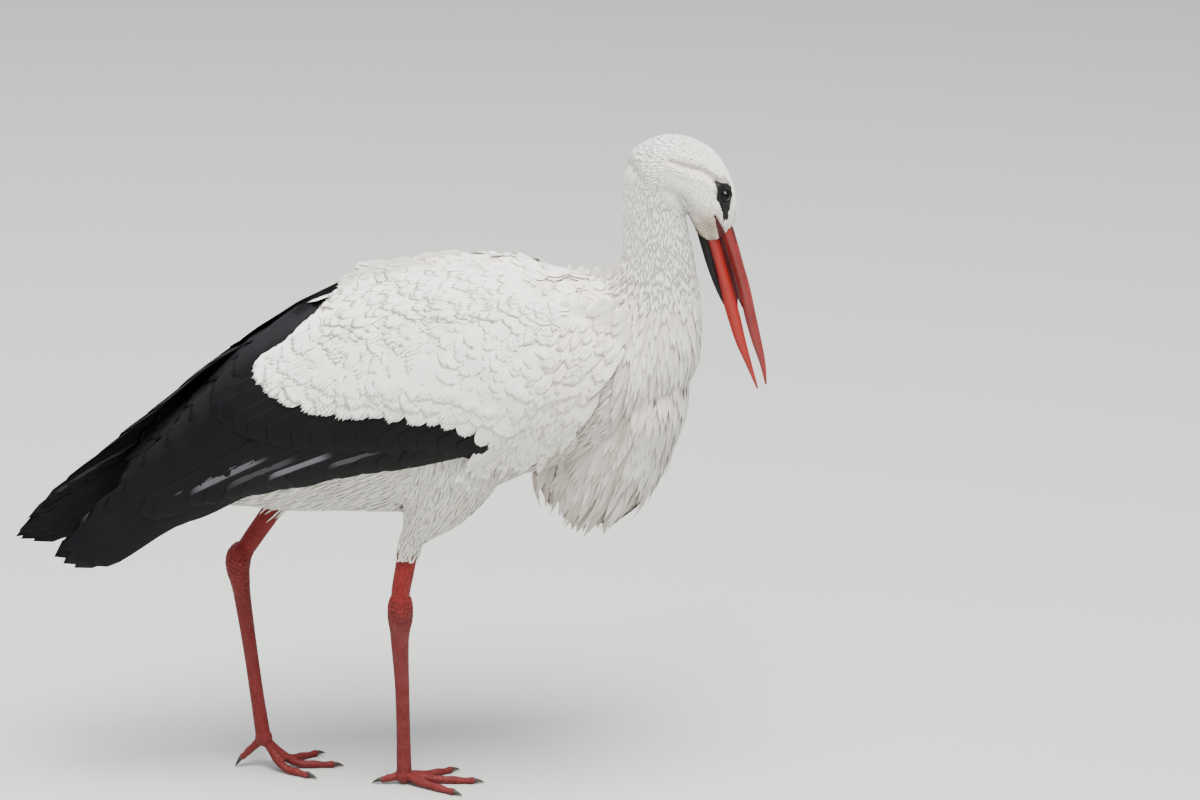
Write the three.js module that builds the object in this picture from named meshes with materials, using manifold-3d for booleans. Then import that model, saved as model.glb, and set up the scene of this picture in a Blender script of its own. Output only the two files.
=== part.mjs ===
// White stork standing in mid-step, head bent down: a still, life-size model.
// Millimetres, +Z up, the bird faces +X and its left side is +Y. The floor is z = 0.
import * as THREE from 'three';
import { LoftGeometry } from 'three/addons/geometries/LoftGeometry.js';
import { mergeVertices } from 'three/addons/utils/BufferGeometryUtils.js';
import Module from 'manifold-3d';

const wasm = await Module();
wasm.setup();

// Driving sizes
const gap = 0.35;             // clearance between neighbouring pieces
const originShift = 4;        // moves the bird along X so that the origin is below its middle
const headTurn = 9;           // degrees the head is turned to the left
const headPivotX = 285;       // where the head turns about the vertical
const eyeRadius = 6.5;
const eyePlace = new THREE.Vector3(341.5, 16.6, 639.5);
const scapularTip = 12;       // how far the left scapulars end behind the right ones
const toeRadius = 5.4;
const toeTipRadius = 3.9;
const middleToe = 74;
const clawLength = 12;
const restShare = 0.82;         // how high a resting toe's middle lies, as a share of its radius
const padRadius = 9.4;
const hindToe = 24;

const paints = {
	white: new THREE.MeshStandardMaterial( { color: 0xeeeae2, roughness: 0.85, metalness: 0 } ),
	black: new THREE.MeshStandardMaterial( { color: 0x17161a, roughness: 0.55, metalness: 0 } ),
	leg: new THREE.MeshStandardMaterial( { color: 0xb03a34, roughness: 0.6, metalness: 0 } ),
	bill: new THREE.MeshStandardMaterial( { color: 0xc23222, roughness: 0.4, metalness: 0 } ),
	skin: new THREE.MeshStandardMaterial( { color: 0x141214, roughness: 0.6, metalness: 0 } ),
	eye: new THREE.MeshStandardMaterial( { color: 0x120d0a, roughness: 0.08, metalness: 0 } ),
	claw: new THREE.MeshStandardMaterial( { color: 0x2a2321, roughness: 0.45, metalness: 0 } ),
};

// Rows of numbers, passed through smoothly: every row is one station of a body part.
function smoothRows( rows, count ) {

	const last = rows.length - 1;
	const result = [];

	for ( let i = 0; i < count; i ++ ) {

		const at = i / ( count - 1 ) * last;
		const k = Math.min( Math.floor( at ), last - 1 );
		const t = at - k;
		const [ a, b, c, d ] = [ k - 1, k, k + 1, k + 2 ].map( ( j ) => rows[ Math.min( Math.max( j, 0 ), last ) ] );

		result.push( b.map( ( value, n ) => {

			const slope = ( c[ n ] - a[ n ] ) / 2;
			const nextSlope = ( d[ n ] - b[ n ] ) / 2;
			const rise = c[ n ] - value;
			const curve = 3 * rise - 2 * slope - nextSlope;
			const twist = slope + nextSlope - 2 * rise;
			return value + t * ( slope + t * ( curve + t * twist ) );

		} ) );

	}

	return result;

}

// A closed solid from a geometry, with its faces turned outwards.
function solid( geometry ) {

	const bare = new THREE.BufferGeometry();
	bare.setAttribute( 'position', geometry.getAttribute( 'position' ) );
	bare.setIndex( geometry.getIndex() );
	const merged = mergeVertices( bare );
	const spots = merged.getAttribute( 'position' );
	const index = Uint32Array.from( merged.getIndex().array );
	const corner = [ 0, 1, 2 ].map( () => new THREE.Vector3() );
	let volume = 0;

	for ( let i = 0; i < index.length; i += 3 ) {

		corner.forEach( ( point, n ) => point.fromBufferAttribute( spots, index[ i + n ] ) );
		volume += corner[ 0 ].dot( corner[ 1 ].cross( corner[ 2 ] ) );

	}

	if ( volume < 0 ) index.reverse();
	const vertProperties = Float32Array.from( spots.array );
	return new wasm.Manifold( new wasm.Mesh( { numProp: 3, vertProperties, triVerts: index } ) );

}

// The geometry of a solid.
function surface( body ) {

	const mesh = body.getMesh();
	const geometry = new THREE.BufferGeometry();
	geometry.setAttribute( 'position', new THREE.BufferAttribute( Float32Array.from( mesh.vertProperties ), 3 ) );
	geometry.setIndex( new THREE.BufferAttribute( Uint32Array.from( mesh.triVerts ), 1 ) );
	geometry.computeVertexNormals();
	return geometry;

}

// The same solid, larger by the gap on every side: each corner moves so far that all its faces clear.
function grown( body ) {

	const geometry = surface( body );
	const spots = geometry.getAttribute( 'position' );
	const normals = geometry.getAttribute( 'normal' );
	const index = geometry.getIndex().array;
	const flattest = new Float32Array( spots.count ).fill( 1 );
	const corner = [ 0, 1, 2 ].map( () => new THREE.Vector3() );
	const facing = new THREE.Vector3();
	const outward = new THREE.Vector3();
	const sharpest = 0.4;

	for ( let i = 0; i < index.length; i += 3 ) {

		corner.forEach( ( point, n ) => point.fromBufferAttribute( spots, index[ i + n ] ) );
		facing.crossVectors( corner[ 1 ].sub( corner[ 0 ] ), corner[ 2 ].sub( corner[ 0 ] ) ).normalize();

		for ( let n = 0; n < 3; n ++ ) {

			const at = index[ i + n ];
			flattest[ at ] = Math.min( flattest[ at ], facing.dot( outward.fromBufferAttribute( normals, at ) ) );

		}

	}

	for ( let i = 0; i < spots.count; i ++ ) {

		const move = gap / Math.max( flattest[ i ], sharpest );
		spots.setX( i, spots.getX( i ) + move * normals.getX( i ) );
		spots.setY( i, spots.getY( i ) + move * normals.getY( i ) );
		spots.setZ( i, spots.getZ( i ) + move * normals.getZ( i ) );

	}

	return solid( geometry );

}

// Takes the neighbours out of a piece, with the gap all round them.
function clearOf( body, ...neighbours ) {

	return neighbours.reduce( ( rest, other ) => rest.subtract( grown( other ) ), body );

}

// A round limb along a path. Rows are x, y, z, half size in the upright plane, half width across.
// Its sections stand square to the path, or to one fixed direction where that is given.
function limb( rows, stations, sides, direction ) {

	const spine = smoothRows( rows, stations );
	const across = new THREE.Vector3( 0, 1, 0 );
	const place = ( row ) => new THREE.Vector3( row[ 0 ], row[ 1 ], row[ 2 ] );
	const sections = spine.map( ( row, i ) => {

		const before = place( spine[ Math.max( i - 1, 0 ) ] );
		const run = place( spine[ Math.min( i + 1, spine.length - 1 ) ] ).sub( before ).normalize();
		const along = direction ?? run;
		const side = across.clone().addScaledVector( along, - across.dot( along ) ).normalize();
		const up = new THREE.Vector3().crossVectors( along, side );
		const ring = [];

		for ( let j = 0; j < sides; j ++ ) {

			const angle = ( j / sides - 0.25 ) * Math.PI * 2;
			const point = place( row );
			point.addScaledVector( side, Math.cos( angle ) * row[ 4 ] );
			point.addScaledVector( up, Math.sin( angle ) * row[ 3 ] );
			ring.push( point );

		}

		return ring;

	} );

	return new LoftGeometry( sections, { capStart: true, capEnd: true } );

}

// A limb whose middle lies in the plane of symmetry. Rows are x, z, half size, half width.
function middleLimb( rows, stations, sides, direction ) {

	return limb( rows.map( ( [ x, z, tall, wide ] ) => [ x, 0, z, tall, wide ] ), stations, sides, direction );

}

const forwards = new THREE.Vector3( 1, 0, 0 );
const upwards = new THREE.Vector3( 0, 0, 1 );
const downwards = new THREE.Vector3( 0, 0, - 1 );

// Turns a head part to the left with the head.
function turnHead( geometry ) {

	geometry.translate( - headPivotX, 0, 0 );
	geometry.rotateZ( THREE.MathUtils.degToRad( headTurn ) );
	geometry.translate( headPivotX, 0, 0 );
	return geometry;

}

// Trunk: x, z of the middle, half height, half width, from the rump to the chest
const trunk = solid( middleLimb( [
	[ - 240, 313, 10, 24 ],
	[ - 205, 344, 40, 38 ],
	[ - 155, 376, 73, 54 ],
	[ - 100, 397, 99, 68 ],
	[ - 50, 412, 113, 81 ],
	[ 0, 419, 121, 88 ],
	[ 50, 429, 128, 92 ],
	[ 100, 443, 121, 94 ],
	[ 145, 453, 111, 91 ],
	[ 190, 454, 102, 84 ],
	[ 228, 456, 92, 74 ],
	[ 258, 459, 77, 61 ],
	[ 282, 464, 54, 43 ],
	[ 296, 468, 24, 20 ],
], 20, 20, forwards ) );

// Head: from the nape over the crown to the base of the bill
const headWhole = solid( turnHead( middleLimb( [
	[ 262, 656, 32, 24 ],
	[ 284, 666, 35, 28 ],
	[ 306.5, 661, 34.5, 28.5 ],
	[ 321, 646, 31.5, 27 ],
	[ 329.5, 630, 28, 24 ],
	[ 333.5, 614, 24, 19.5 ],
	[ 335.5, 601, 19, 15 ],
	[ 338, 591, 14, 11 ],
], 12, 14 ) ) );

// Upper and lower half of the bill, base to tip
const upperBill = solid( turnHead( middleLimb( [
	[ 345.5, 606, 6.5, 8.5 ],
	[ 349.3, 590, 7.8, 10.2 ],
	[ 354.6, 566.7, 8.4, 9.8 ],
	[ 360.2, 542.3, 8.2, 8.8 ],
	[ 367.3, 518.9, 6.8, 7.4 ],
	[ 374.6, 496.4, 5.8, 5.9 ],
	[ 380.9, 472.9, 5, 4.5 ],
	[ 386.4, 449.2, 3.1, 2.9 ],
	[ 389, 437.5, 0.9, 1 ],
], 11, 10 ) ) );
const lowerBillWhole = solid( turnHead( middleLimb( [
	[ 324.5, 606, 6.5, 7.5 ],
	[ 329.3, 590, 7.6, 9.4 ],
	[ 335.5, 566.7, 9.2, 9 ],
	[ 342.4, 542.3, 9.6, 8 ],
	[ 351, 518.9, 8.4, 6.8 ],
	[ 358, 496.4, 6.5, 5.4 ],
	[ 365, 472.9, 5.4, 4.2 ],
	[ 372.5, 449.2, 3.2, 2.7 ],
	[ 377.9, 433, 0.9, 1 ],
], 11, 10 ) ) );
const throatWhole = solid( turnHead( middleLimb( [
	[ 319, 604, 8, 8.5 ],
	[ 321.5, 590, 7.4, 8 ],
	[ 329, 560, 5.4, 6.2 ],
	[ 337.5, 535, 3.2, 3.8 ],
	[ 344.5, 518, 0.9, 1.2 ],
], 6, 8 ) ) );
const lowerBill = clearOf( lowerBillWhole, upperBill );
const throat = clearOf( throatWhole, lowerBillWhole, upperBill );

const eyes = [ 1, - 1 ].map( ( side ) => {

	const ball = new THREE.SphereGeometry( eyeRadius, 11, 8 );
	ball.translate( eyePlace.x, side * eyePlace.y, eyePlace.z );
	return solid( turnHead( ball ) );

} );
const head = clearOf( headWhole, upperBill, lowerBillWhole, throatWhole, ...eyes );

// Neck: from inside the chest straight up to the nape
const neckWhole = solid( middleLimb( [
	[ 252, 430, 52, 48 ],
	[ 260, 458, 60, 55 ],
	[ 264, 490, 59.5, 54 ],
	[ 267, 522, 57, 47 ],
	[ 273, 549, 47, 40 ],
	[ 276.8, 575, 39.5, 34.5 ],
	[ 273.6, 606, 35.8, 31.5 ],
	[ 272, 632, 34.4, 29.5 ],
	[ 273.5, 652, 34, 27.5 ],
	[ 278, 671, 31, 24 ],
	[ 283, 688, 21, 16 ],
], 14, 16, upwards ) );
const neck = clearOf( neckWhole, trunk, headWhole );

// Long breast feathers that hang from the base of the neck
const breastWhole = solid( middleLimb( [
	[ 262, 446, 50, 52 ],
	[ 245, 410, 64, 58 ],
	[ 228, 378, 70, 54 ],
	[ 215, 350, 73, 48 ],
	[ 211, 326, 65, 41 ],
	[ 210, 308, 55, 34 ],
	[ 206, 295, 41, 26 ],
	[ 204, 284, 28, 19 ],
	[ 203, 268, 15, 11 ],
], 11, 14, downwards ) );
const breast = clearOf( breastWhole, trunk, neckWhole );

// Tail, folded narrow between the wing tips
const tailWhole = solid( limb( [
	[ - 120, 0, 400, 14, 30 ],
	[ - 160, 0, 378, 11, 33 ],
	[ - 205, 0, 350, 8, 33 ],
	[ - 250, 0, 318, 5.5, 31 ],
	[ - 284, 0, 293, 3, 29 ],
	[ - 290, 0, 288, 1.2, 26 ],
], 7, 12 ) );
const tail = clearOf( tailWhole, trunk );

// Folded wings: x, z of the oval's middle, half height, half width, z of the lower edge,
// distance of the upper edge from the middle plane, thickness
const wingOverBody = [
	[ 176, 453, 113, 98, 507, 64, 9 ],
	[ 152, 452, 121, 102, 466, 52, 16 ],
	[ 130, 450, 125, 104.5, 430, 42, 20 ],
	[ 88, 446, 127, 105, 400, 30, 22 ],
	[ 40, 439, 127, 103, 382, 18, 22 ],
	[ - 14, 428, 121, 97, 377, 9, 22 ],
	[ - 60, 418, 115, 90, 363, 4, 21 ],
	[ - 105, 406, 106, 82, 351, 2, 20 ],
	[ - 150, 390, 94, 73, 338, 2, 17 ],
];
const wingEnds = {
	right: [
		[ - 191, 352, 89, 65, 329, 2, 13 ],
		[ - 232, 322, 80, 55, 319, 2, 10 ],
		[ - 262, 294, 78, 48, 293, 2, 9 ],
		[ - 285, 270, 76, 43, 269, 2, 8 ],
		[ - 310, 258, 56, 37, 257, 2, 7 ],
		[ - 332, 247, 38, 31, 246, 2, 6 ],
		[ - 347, 255, 14, 25, 254, 2, 4 ],
	],
	left: [
		[ - 191, 356, 101, 65, 330, 2, 13 ],
		[ - 235, 326, 92, 55, 318, 2, 10 ],
		[ - 272, 300, 89, 48, 296, 2, 9 ],
		[ - 306, 283, 77, 41, 282, 2, 8 ],
		[ - 342, 270, 58, 34, 269, 2, 7 ],
		[ - 374, 262, 32, 27, 261, 2, 5 ],
		[ - 397, 260, 8, 20, 259, 2, 3 ],
	],
};
const edgeThickness = 2.2;
const wingStations = 19;
const wingPoints = 9;

// One wing as a shell over an oval: the outer arc from the upper edge down, then the inner arc back.
function wingShell( rows, side ) {

	const sections = smoothRows( rows, wingStations ).map( ( row ) => {

		const [ x, middle, tall, wide, lowerEdge, ridge, thickness ] = row;
		const from = Math.acos( Math.min( ridge / wide, 1 ) );
		const to = Math.asin( Math.max( ( lowerEdge - middle ) / tall, - 0.97 ) );
		const outer = [];
		const inner = [];

		for ( let j = 0; j < wingPoints; j ++ ) {

			const share = j / ( wingPoints - 1 );
			const angle = from + ( to - from ) * share;
			const depth = edgeThickness + ( thickness - edgeThickness ) * Math.sin( Math.PI * share ) ** 0.6;
			const y = Math.cos( angle ) * wide;
			const z = Math.sin( angle ) * tall;
			const slope = Math.hypot( y / wide ** 2, z / tall ** 2 );
			const inY = y - depth * y / wide ** 2 / slope;
			const inZ = z - depth * z / tall ** 2 / slope;
			outer.push( new THREE.Vector3( x, side * y, middle + z ) );
			inner.push( new THREE.Vector3( x, side * Math.max( inY, ridge * 0.6 ), middle + inZ ) );

		}

		const ring = outer.concat( inner.reverse() );
		return side > 0 ? ring : ring.reverse();

	} );

	return solid( new LoftGeometry( sections, { capStart: true, capEnd: true } ) );

}

// The border between the white coverts and the black flight feathers, seen from the side: x, z
const covertEdge = [
	[ - 66, 560 ],
	[ - 72, 504 ],
	[ - 106, 482 ],
	[ - 138, 457 ],
	[ - 120, 446 ],
	[ - 80, 433 ],
	[ - 54, 428 ],
	[ - 27, 433 ],
	[ 10, 426 ],
	[ 50, 423 ],
	[ 96, 402 ],
	[ 112, 380 ],
];

// Everything behind and below the border, as a thick plate through the bird.
function flightZone( shiftX, clearance ) {

	const line = covertEdge.map( ( [ x, z ], i ) => {

		const before = covertEdge[ Math.max( i - 1, 0 ) ];
		const after = covertEdge[ Math.min( i + 1, covertEdge.length - 1 ) ];
		const run = new THREE.Vector2( after[ 0 ] - before[ 0 ], after[ 1 ] - before[ 1 ] ).normalize();
		return new THREE.Vector2( x + shiftX - run.y * clearance, z + run.x * clearance );

	} );
	const low = 200;
	const rear = - 460;
	line.push( new THREE.Vector2( covertEdge.at( - 1 )[ 0 ], low ) );
	line.push( new THREE.Vector2( rear, low ) );
	line.push( new THREE.Vector2( rear, covertEdge[ 0 ][ 1 ] ) );
	const plate = new THREE.ExtrudeGeometry( new THREE.Shape( line ), { depth: 300, bevelEnabled: false } );
	plate.rotateX( Math.PI / 2 );
	plate.translate( 0, 150, 0 );
	return solid( plate );

}

// Legs. Rows are x, y, z, half size fore and aft, half width across.
const legRows = {
	right: {
		thigh: [
			[ 74, - 46, 400, 58, 36 ],
			[ 64, - 49, 362, 55, 35 ],
			[ 50, - 50, 328, 42, 29 ],
			[ 36, - 50, 304, 28, 22 ],
			[ 27, - 49, 288, 18, 15 ],
			[ 22, - 49, 277, 12.5, 11.5 ],
		],
		shank: [
			[ 30, - 49, 300, 11, 9 ],
			[ 21, - 48, 275, 10.6, 8.6 ],
			[ 14.5, - 45, 243, 10.2, 8 ],
			[ 11, - 41, 222, 9.8, 8.6 ],
			[ 10.5, - 39, 206, 9, 8 ],
		],
		tarsus: [
			[ 11, - 40.5, 218, 11, 9.6 ],
			[ 10.6, - 39, 207, 13.4, 11.8 ],
			[ 10.2, - 37.5, 192, 13, 11.4 ],
			[ 9.6, - 35, 178, 10.6, 9.2 ],
			[ 9.4, - 32, 160, 9.2, 7.8 ],
			[ 10.6, - 24, 112, 7.6, 6.6 ],
			[ 11, - 17, 60, 7.4, 6.4 ],
			[ 11, - 13.5, 30, 7.8, 7.6 ],
			[ 11, - 12, 13, 8, 8.4 ],
		],
		heel: [ 11, - 12, 9 ],
	},
	left: {
		thigh: [
			[ - 8, 46, 396, 56, 36 ],
			[ - 38, 49, 362, 50, 34 ],
			[ - 68, 51, 334, 37, 28 ],
			[ - 94, 51, 314, 24, 20 ],
			[ - 110, 51, 302, 16, 14 ],
			[ - 119, 50.5, 294, 12, 11 ],
		],
		shank: [
			[ - 98, 51, 312, 11, 9 ],
			[ - 120, 50, 290, 10.8, 8.6 ],
			[ - 138, 47, 266, 10.4, 8 ],
			[ - 152, 44, 246, 10, 8.6 ],
			[ - 161, 42.5, 232, 9, 8 ],
		],
		tarsus: [
			[ - 155, 43.5, 243, 11, 9.6 ],
			[ - 161.5, 42.5, 234, 13.6, 11.8 ],
			[ - 163, 41.5, 221, 12.8, 11.4 ],
			[ - 161, 40.5, 207, 10.6, 9.2 ],
			[ - 159, 39.5, 190, 9, 7.8 ],
			[ - 152, 36.5, 135, 7.6, 6.6 ],
			[ - 145.5, 33, 82, 7.4, 6.4 ],
			[ - 141.5, 30.5, 52, 7.8, 7.6 ],
			[ - 139.5, 29, 37, 8, 8.4 ],
		],
		heel: [ - 139, 29, 35 ],
	},
};

// Toes: direction in degrees from straight ahead, towards the outer side, and length
const toes = {
	inner: [ - 30, middleToe * 0.76 ],
	middle: [ 2, middleToe ],
	outer: [ 33, middleToe * 0.86 ],
	hind: [ 172, hindToe ],
};

// Height of the middle of a toe above the floor, at a share of its length.
function toeHeight( share, heelHeight, radius, hind ) {

	const rest = radius * restShare;
	if ( hind ) return rest + ( heelHeight - rest ) * ( 1 - 0.75 * share );
	const knuckle = 1.2 * Math.sin( share * Math.PI * 3 ) ** 2 * ( 1 - share );
	return rest + ( heelHeight - rest ) * Math.max( 1 - share / 0.55, 0 ) ** 1.6 + knuckle;

}

function toePath( [ x, y, z ], side, name ) {

	const [ degrees, length ] = toes[ name ];
	const angle = side * THREE.MathUtils.degToRad( degrees );
	const rows = [];
	const steps = 7;

	for ( let i = 0; i <= steps; i ++ ) {

		const share = i / steps;
		const swell = 0.5 * Math.cos( share * Math.PI * 6 );
		const radius = toeRadius + ( toeTipRadius - toeRadius ) * share + swell;
		const height = toeHeight( share, z, radius, name === 'hind' );
		const run = share * length;
		rows.push( [ x + run * Math.cos( angle ), y + run * Math.sin( angle ), height, radius * 0.9, radius ] );

	}

	return rows;

}

// A claw that goes on from the end of its toe and bends down to the floor.
function claw( path ) {

	const end = path.at( - 1 );
	const before = path.at( - 2 );
	const run = new THREE.Vector3( end[ 0 ] - before[ 0 ], end[ 1 ] - before[ 1 ], end[ 2 ] - before[ 2 ] );
	run.normalize();
	const rows = [];
	const steps = 4;

	for ( let i = 0; i <= steps; i ++ ) {

		const share = i / steps;
		const out = gap + share * clawLength;
		const radius = 0.45 + 2.9 * ( 1 - share ) ** 0.8;
		const bend = 0.9 * share * ( 1 - share ) - Math.max( end[ 2 ] - 4, 0 ) * 0.4 * share ** 2;
		const height = Math.max( end[ 2 ] + run.z * out + bend - 2.6 * share ** 2, radius + 0.1 );
		rows.push( [ end[ 0 ] + run.x * out, end[ 1 ] + run.y * out, height, radius, radius * 0.8 ] );

	}

	return solid( limb( rows, 4, 6 ) );

}

const floorBlock = new THREE.BoxGeometry( 900, 400, 40 );
floorBlock.translate( 0, 0, - 20 );
const belowFloor = solid( floorBlock );

// A small web between two toes, from the heel pad outwards.
function web( heel, side, first, second ) {

	const reach = 24;
	const [ x, y, z ] = heel;
	const corners = [ first, second ].map( ( name ) => {

		const angle = side * THREE.MathUtils.degToRad( toes[ name ][ 0 ] );
		return [ x + reach * Math.cos( angle ), y + reach * Math.sin( angle ) ];

	} );
	const drop = toeHeight( reach / middleToe, z, toeRadius, false );
	const rows = [ 0, 0.5, 1 ].map( ( share ) => {

		const spread = Math.hypot( corners[ 0 ][ 0 ] - corners[ 1 ][ 0 ], corners[ 0 ][ 1 ] - corners[ 1 ][ 1 ] ) / 2;
		return [
			x + share * ( ( corners[ 0 ][ 0 ] + corners[ 1 ][ 0 ] ) / 2 - x ),
			y + share * ( ( corners[ 0 ][ 1 ] + corners[ 1 ][ 1 ] ) / 2 - y ),
			z + share * ( drop - z ),
			2.2 - share,
			2 + spread * share,
		];

	} );
	return solid( limb( rows, 3, 7 ) );

}

function buildLeg( name, side, bodyParts ) {

	const rows = legRows[ name ];
	const paths = Object.fromEntries( Object.keys( toes ).map( ( toe ) => [ toe, toePath( rows.heel, side, toe ) ] ) );
	const heelPad = new THREE.SphereGeometry( padRadius, 10, 6 );
	heelPad.rotateX( Math.PI / 2 );
	heelPad.translate( ...rows.heel );
	let foot = solid( heelPad );
	Object.values( paths ).forEach( ( path ) => {

		foot = foot.add( solid( limb( path, 8, 7 ) ) );

	} );
	foot = foot.add( web( rows.heel, side, 'inner', 'middle' ) ).add( web( rows.heel, side, 'middle', 'outer' ) );
	foot = foot.subtract( belowFloor );
	const tarsusWhole = solid( limb( rows.tarsus, 12, 9 ) );
	const thighWhole = solid( limb( rows.thigh, 8, 13 ) );
	const shank = clearOf( solid( limb( rows.shank, 6, 10 ) ), thighWhole, tarsusWhole );
	const leg = {
		thigh: clearOf( thighWhole, ...bodyParts ),
		shank: clearOf( shank, ...bodyParts ),
		tarsus: clearOf( tarsusWhole, foot ),
		foot,
	};
	Object.entries( paths ).forEach( ( [ toe, path ] ) => {

		leg[ `claw_${ toe }` ] = claw( path );

	} );
	return { leg, thighWhole };

}

const stork = new THREE.Group();
stork.position.x = originShift;

function addPiece( name, body, paint ) {

	const mesh = new THREE.Mesh( surface( body ), paints[ paint ].clone() );
	mesh.name = name;
	stork.add( mesh );

}

addPiece( 'trunk', trunk, 'white' );
addPiece( 'neck', neck, 'white' );
addPiece( 'breast_plumes', breast, 'white' );
addPiece( 'head', head, 'white' );
addPiece( 'bill_upper', upperBill, 'bill' );
addPiece( 'bill_lower', lowerBill, 'bill' );
addPiece( 'throat_skin', throat, 'skin' );
addPiece( 'eye_left', eyes[ 0 ], 'eye' );
addPiece( 'eye_right', eyes[ 1 ], 'eye' );
addPiece( 'tail', tail, 'white' );

[ [ 'left', 1 ], [ 'right', - 1 ] ].forEach( ( [ name, side ] ) => {

	const { leg, thighWhole } = buildLeg( name, side, [ trunk ] );
	const shell = wingShell( wingOverBody.concat( wingEnds[ name ] ), side );
	const wing = clearOf( shell, trunk, tailWhole, neckWhole, thighWhole );
	const shift = name === 'left' ? - scapularTip : 0;
	addPiece( `wing_coverts_${ name }`, wing.subtract( flightZone( shift, gap ) ), 'white' );
	addPiece( `flight_feathers_${ name }`, wing.intersect( flightZone( shift, 0 ) ), 'black' );
	Object.entries( leg ).forEach( ( [ part, body ] ) => {

		const paint = part === 'thigh' ? 'white' : part.startsWith( 'claw' ) ? 'claw' : 'leg';
		addPiece( `${ part }_${ name }`, body, paint );

	} );

} );

export default stork;
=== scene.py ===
import math

import bmesh
import bpy
import numpy as np
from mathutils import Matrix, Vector
from mathutils.bvhtree import BVHTree
from mathutils.kdtree import KDTree


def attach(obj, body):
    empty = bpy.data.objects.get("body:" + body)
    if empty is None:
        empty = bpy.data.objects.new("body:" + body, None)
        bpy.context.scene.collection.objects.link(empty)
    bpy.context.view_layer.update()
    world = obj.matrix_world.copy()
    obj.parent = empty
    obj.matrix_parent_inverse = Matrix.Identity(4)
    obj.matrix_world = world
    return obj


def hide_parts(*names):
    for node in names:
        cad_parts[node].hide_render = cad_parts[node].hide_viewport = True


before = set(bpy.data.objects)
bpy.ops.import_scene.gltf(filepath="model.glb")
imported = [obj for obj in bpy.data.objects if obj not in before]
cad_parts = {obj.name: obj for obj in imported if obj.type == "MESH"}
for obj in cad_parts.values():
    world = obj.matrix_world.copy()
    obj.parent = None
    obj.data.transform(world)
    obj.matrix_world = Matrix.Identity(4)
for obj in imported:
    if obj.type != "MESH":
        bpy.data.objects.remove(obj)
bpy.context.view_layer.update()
mm = 0.001
originShift = 4.0  # how far ahead of the drawing's own zero the bird stands, in millimetres
mergeDistance = 1e-8
random = np.random.default_rng(7)
print("frame loaded")


# rows of numbers that run along a body part, and the tubes made from them

def smoothRows(rows, count):
    # rows of numbers, passed through smoothly
    rows = np.asarray(rows, float)
    last = len(rows) - 1
    at = np.linspace(0, last, count)
    k = np.minimum(at.astype(int), last - 1)
    t = (at - k)[:, None]
    a, b, c, d = (rows[np.clip(k + n, 0, last)] for n in (-1, 0, 1, 2))
    slope, nextSlope, rise = (c - a) / 2, (d - b) / 2, c - b
    return b + t * (slope + t * ((3 * rise - 2 * slope - nextSlope) + t * (slope + nextSlope - 2 * rise)))


def unit(v):
    return v / np.maximum(np.linalg.norm(v, axis=-1, keepdims=True), 1e-12)


def ease(low, high, value):
    # 0 to 1, smoothly, while the value goes from low to high
    t = np.clip((value - low) / (high - low), 0, 1)
    return t * t * (3 - 2 * t)


def limbFrame(spine):
    # the directions across and up at each station of a limb
    along = unit(np.gradient(spine[:, :3], axis=0))
    side = unit(np.array([0, 1.0, 0]) - along * along[:, 1:2])
    return side, np.cross(along, side)


def turns(sides):
    # angles once round a section, from its lowest point
    return np.linspace(0, 2 * math.pi, sides, endpoint=False) - math.pi / 2


def limbGrid(rows, stations, sides, direction=None, inset=0.0):
    # rings of points round a limb: rows are x, y, z, half size in the upright plane, half width across
    spine = smoothRows(rows, stations)
    place = spine[:, :3]
    side, up = limbFrame(spine)
    if direction is not None:
        side = np.array([[0, 1.0, 0]])
        up = np.cross(direction[None], side)
    angle = turns(sides)
    tall = np.maximum(spine[:, 3] - inset, 0.3)[:, None, None]
    wide = np.maximum(spine[:, 4] - inset, 0.3)[:, None, None]
    cos, sin = np.cos(angle)[None, :, None], np.sin(angle)[None, :, None]
    return place[:, None] + side[:, None] * cos * wide + up[:, None] * sin * tall


def middle(rows):
    return [[x, 0, z, tall, wide] for x, z, tall, wide in rows]


def turnHead(points, back=False):
    # the head is turned to the bird's left about a vertical line
    angle = math.radians(-headPlace["turn"] if back else headPlace["turn"])
    cos, sin = math.cos(angle), math.sin(angle)
    x, y, z = points[..., 0] - headPlace["pivotX"], points[..., 1], points[..., 2]
    return np.stack([headPlace["pivotX"] + x * cos - y * sin, x * sin + y * cos, z], -1)


def toMetres(points):
    return (np.asarray(points, float) + [originShift, 0, 0]) * mm


headPlace = {"turn": 9.0, "pivotX": 285.0}
forwards, backwards, upwards, downwards = np.array([[1.0, 0, 0], [-1, 0, 0], [0, 0, 1], [0, 0, -1]])

trunkRows = middle([
    [-240, 313, 10, 24], [-205, 344, 40, 38], [-155, 376, 73, 54], [-100, 397, 99, 68], [-50, 412, 113, 81],
    [0, 419, 121, 88], [50, 429, 128, 92], [100, 443, 121, 94], [145, 453, 111, 91], [190, 454, 102, 84],
    [228, 456, 92, 74], [258, 459, 77, 61], [282, 464, 54, 43], [296, 468, 24, 20]])
headRows = middle([
    [262, 656, 32, 24], [284, 666, 35, 28], [306.5, 661, 34.5, 28.5], [321, 646, 31.5, 27],
    [329.5, 630, 28, 24], [333.5, 614, 24, 19.5], [335.5, 601, 19, 15], [338, 591, 14, 11]])
neckRows = middle([
    [252, 430, 52, 48], [260, 458, 60, 55], [264, 490, 59.5, 54], [267, 522, 57, 47], [273, 549, 47, 40],
    [276.8, 575, 39.5, 34.5], [273.6, 606, 35.8, 31.5], [272, 632, 34.4, 29.5], [273.5, 652, 34, 27.5],
    [278, 671, 31, 24], [283, 688, 21, 16]])
breastRows = middle([
    [262, 446, 50, 52], [245, 410, 64, 58], [228, 378, 70, 54], [215, 350, 73, 48], [211, 326, 65, 41],
    [210, 308, 55, 34], [206, 295, 41, 26], [204, 284, 28, 19], [203, 268, 15, 11]])
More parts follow.
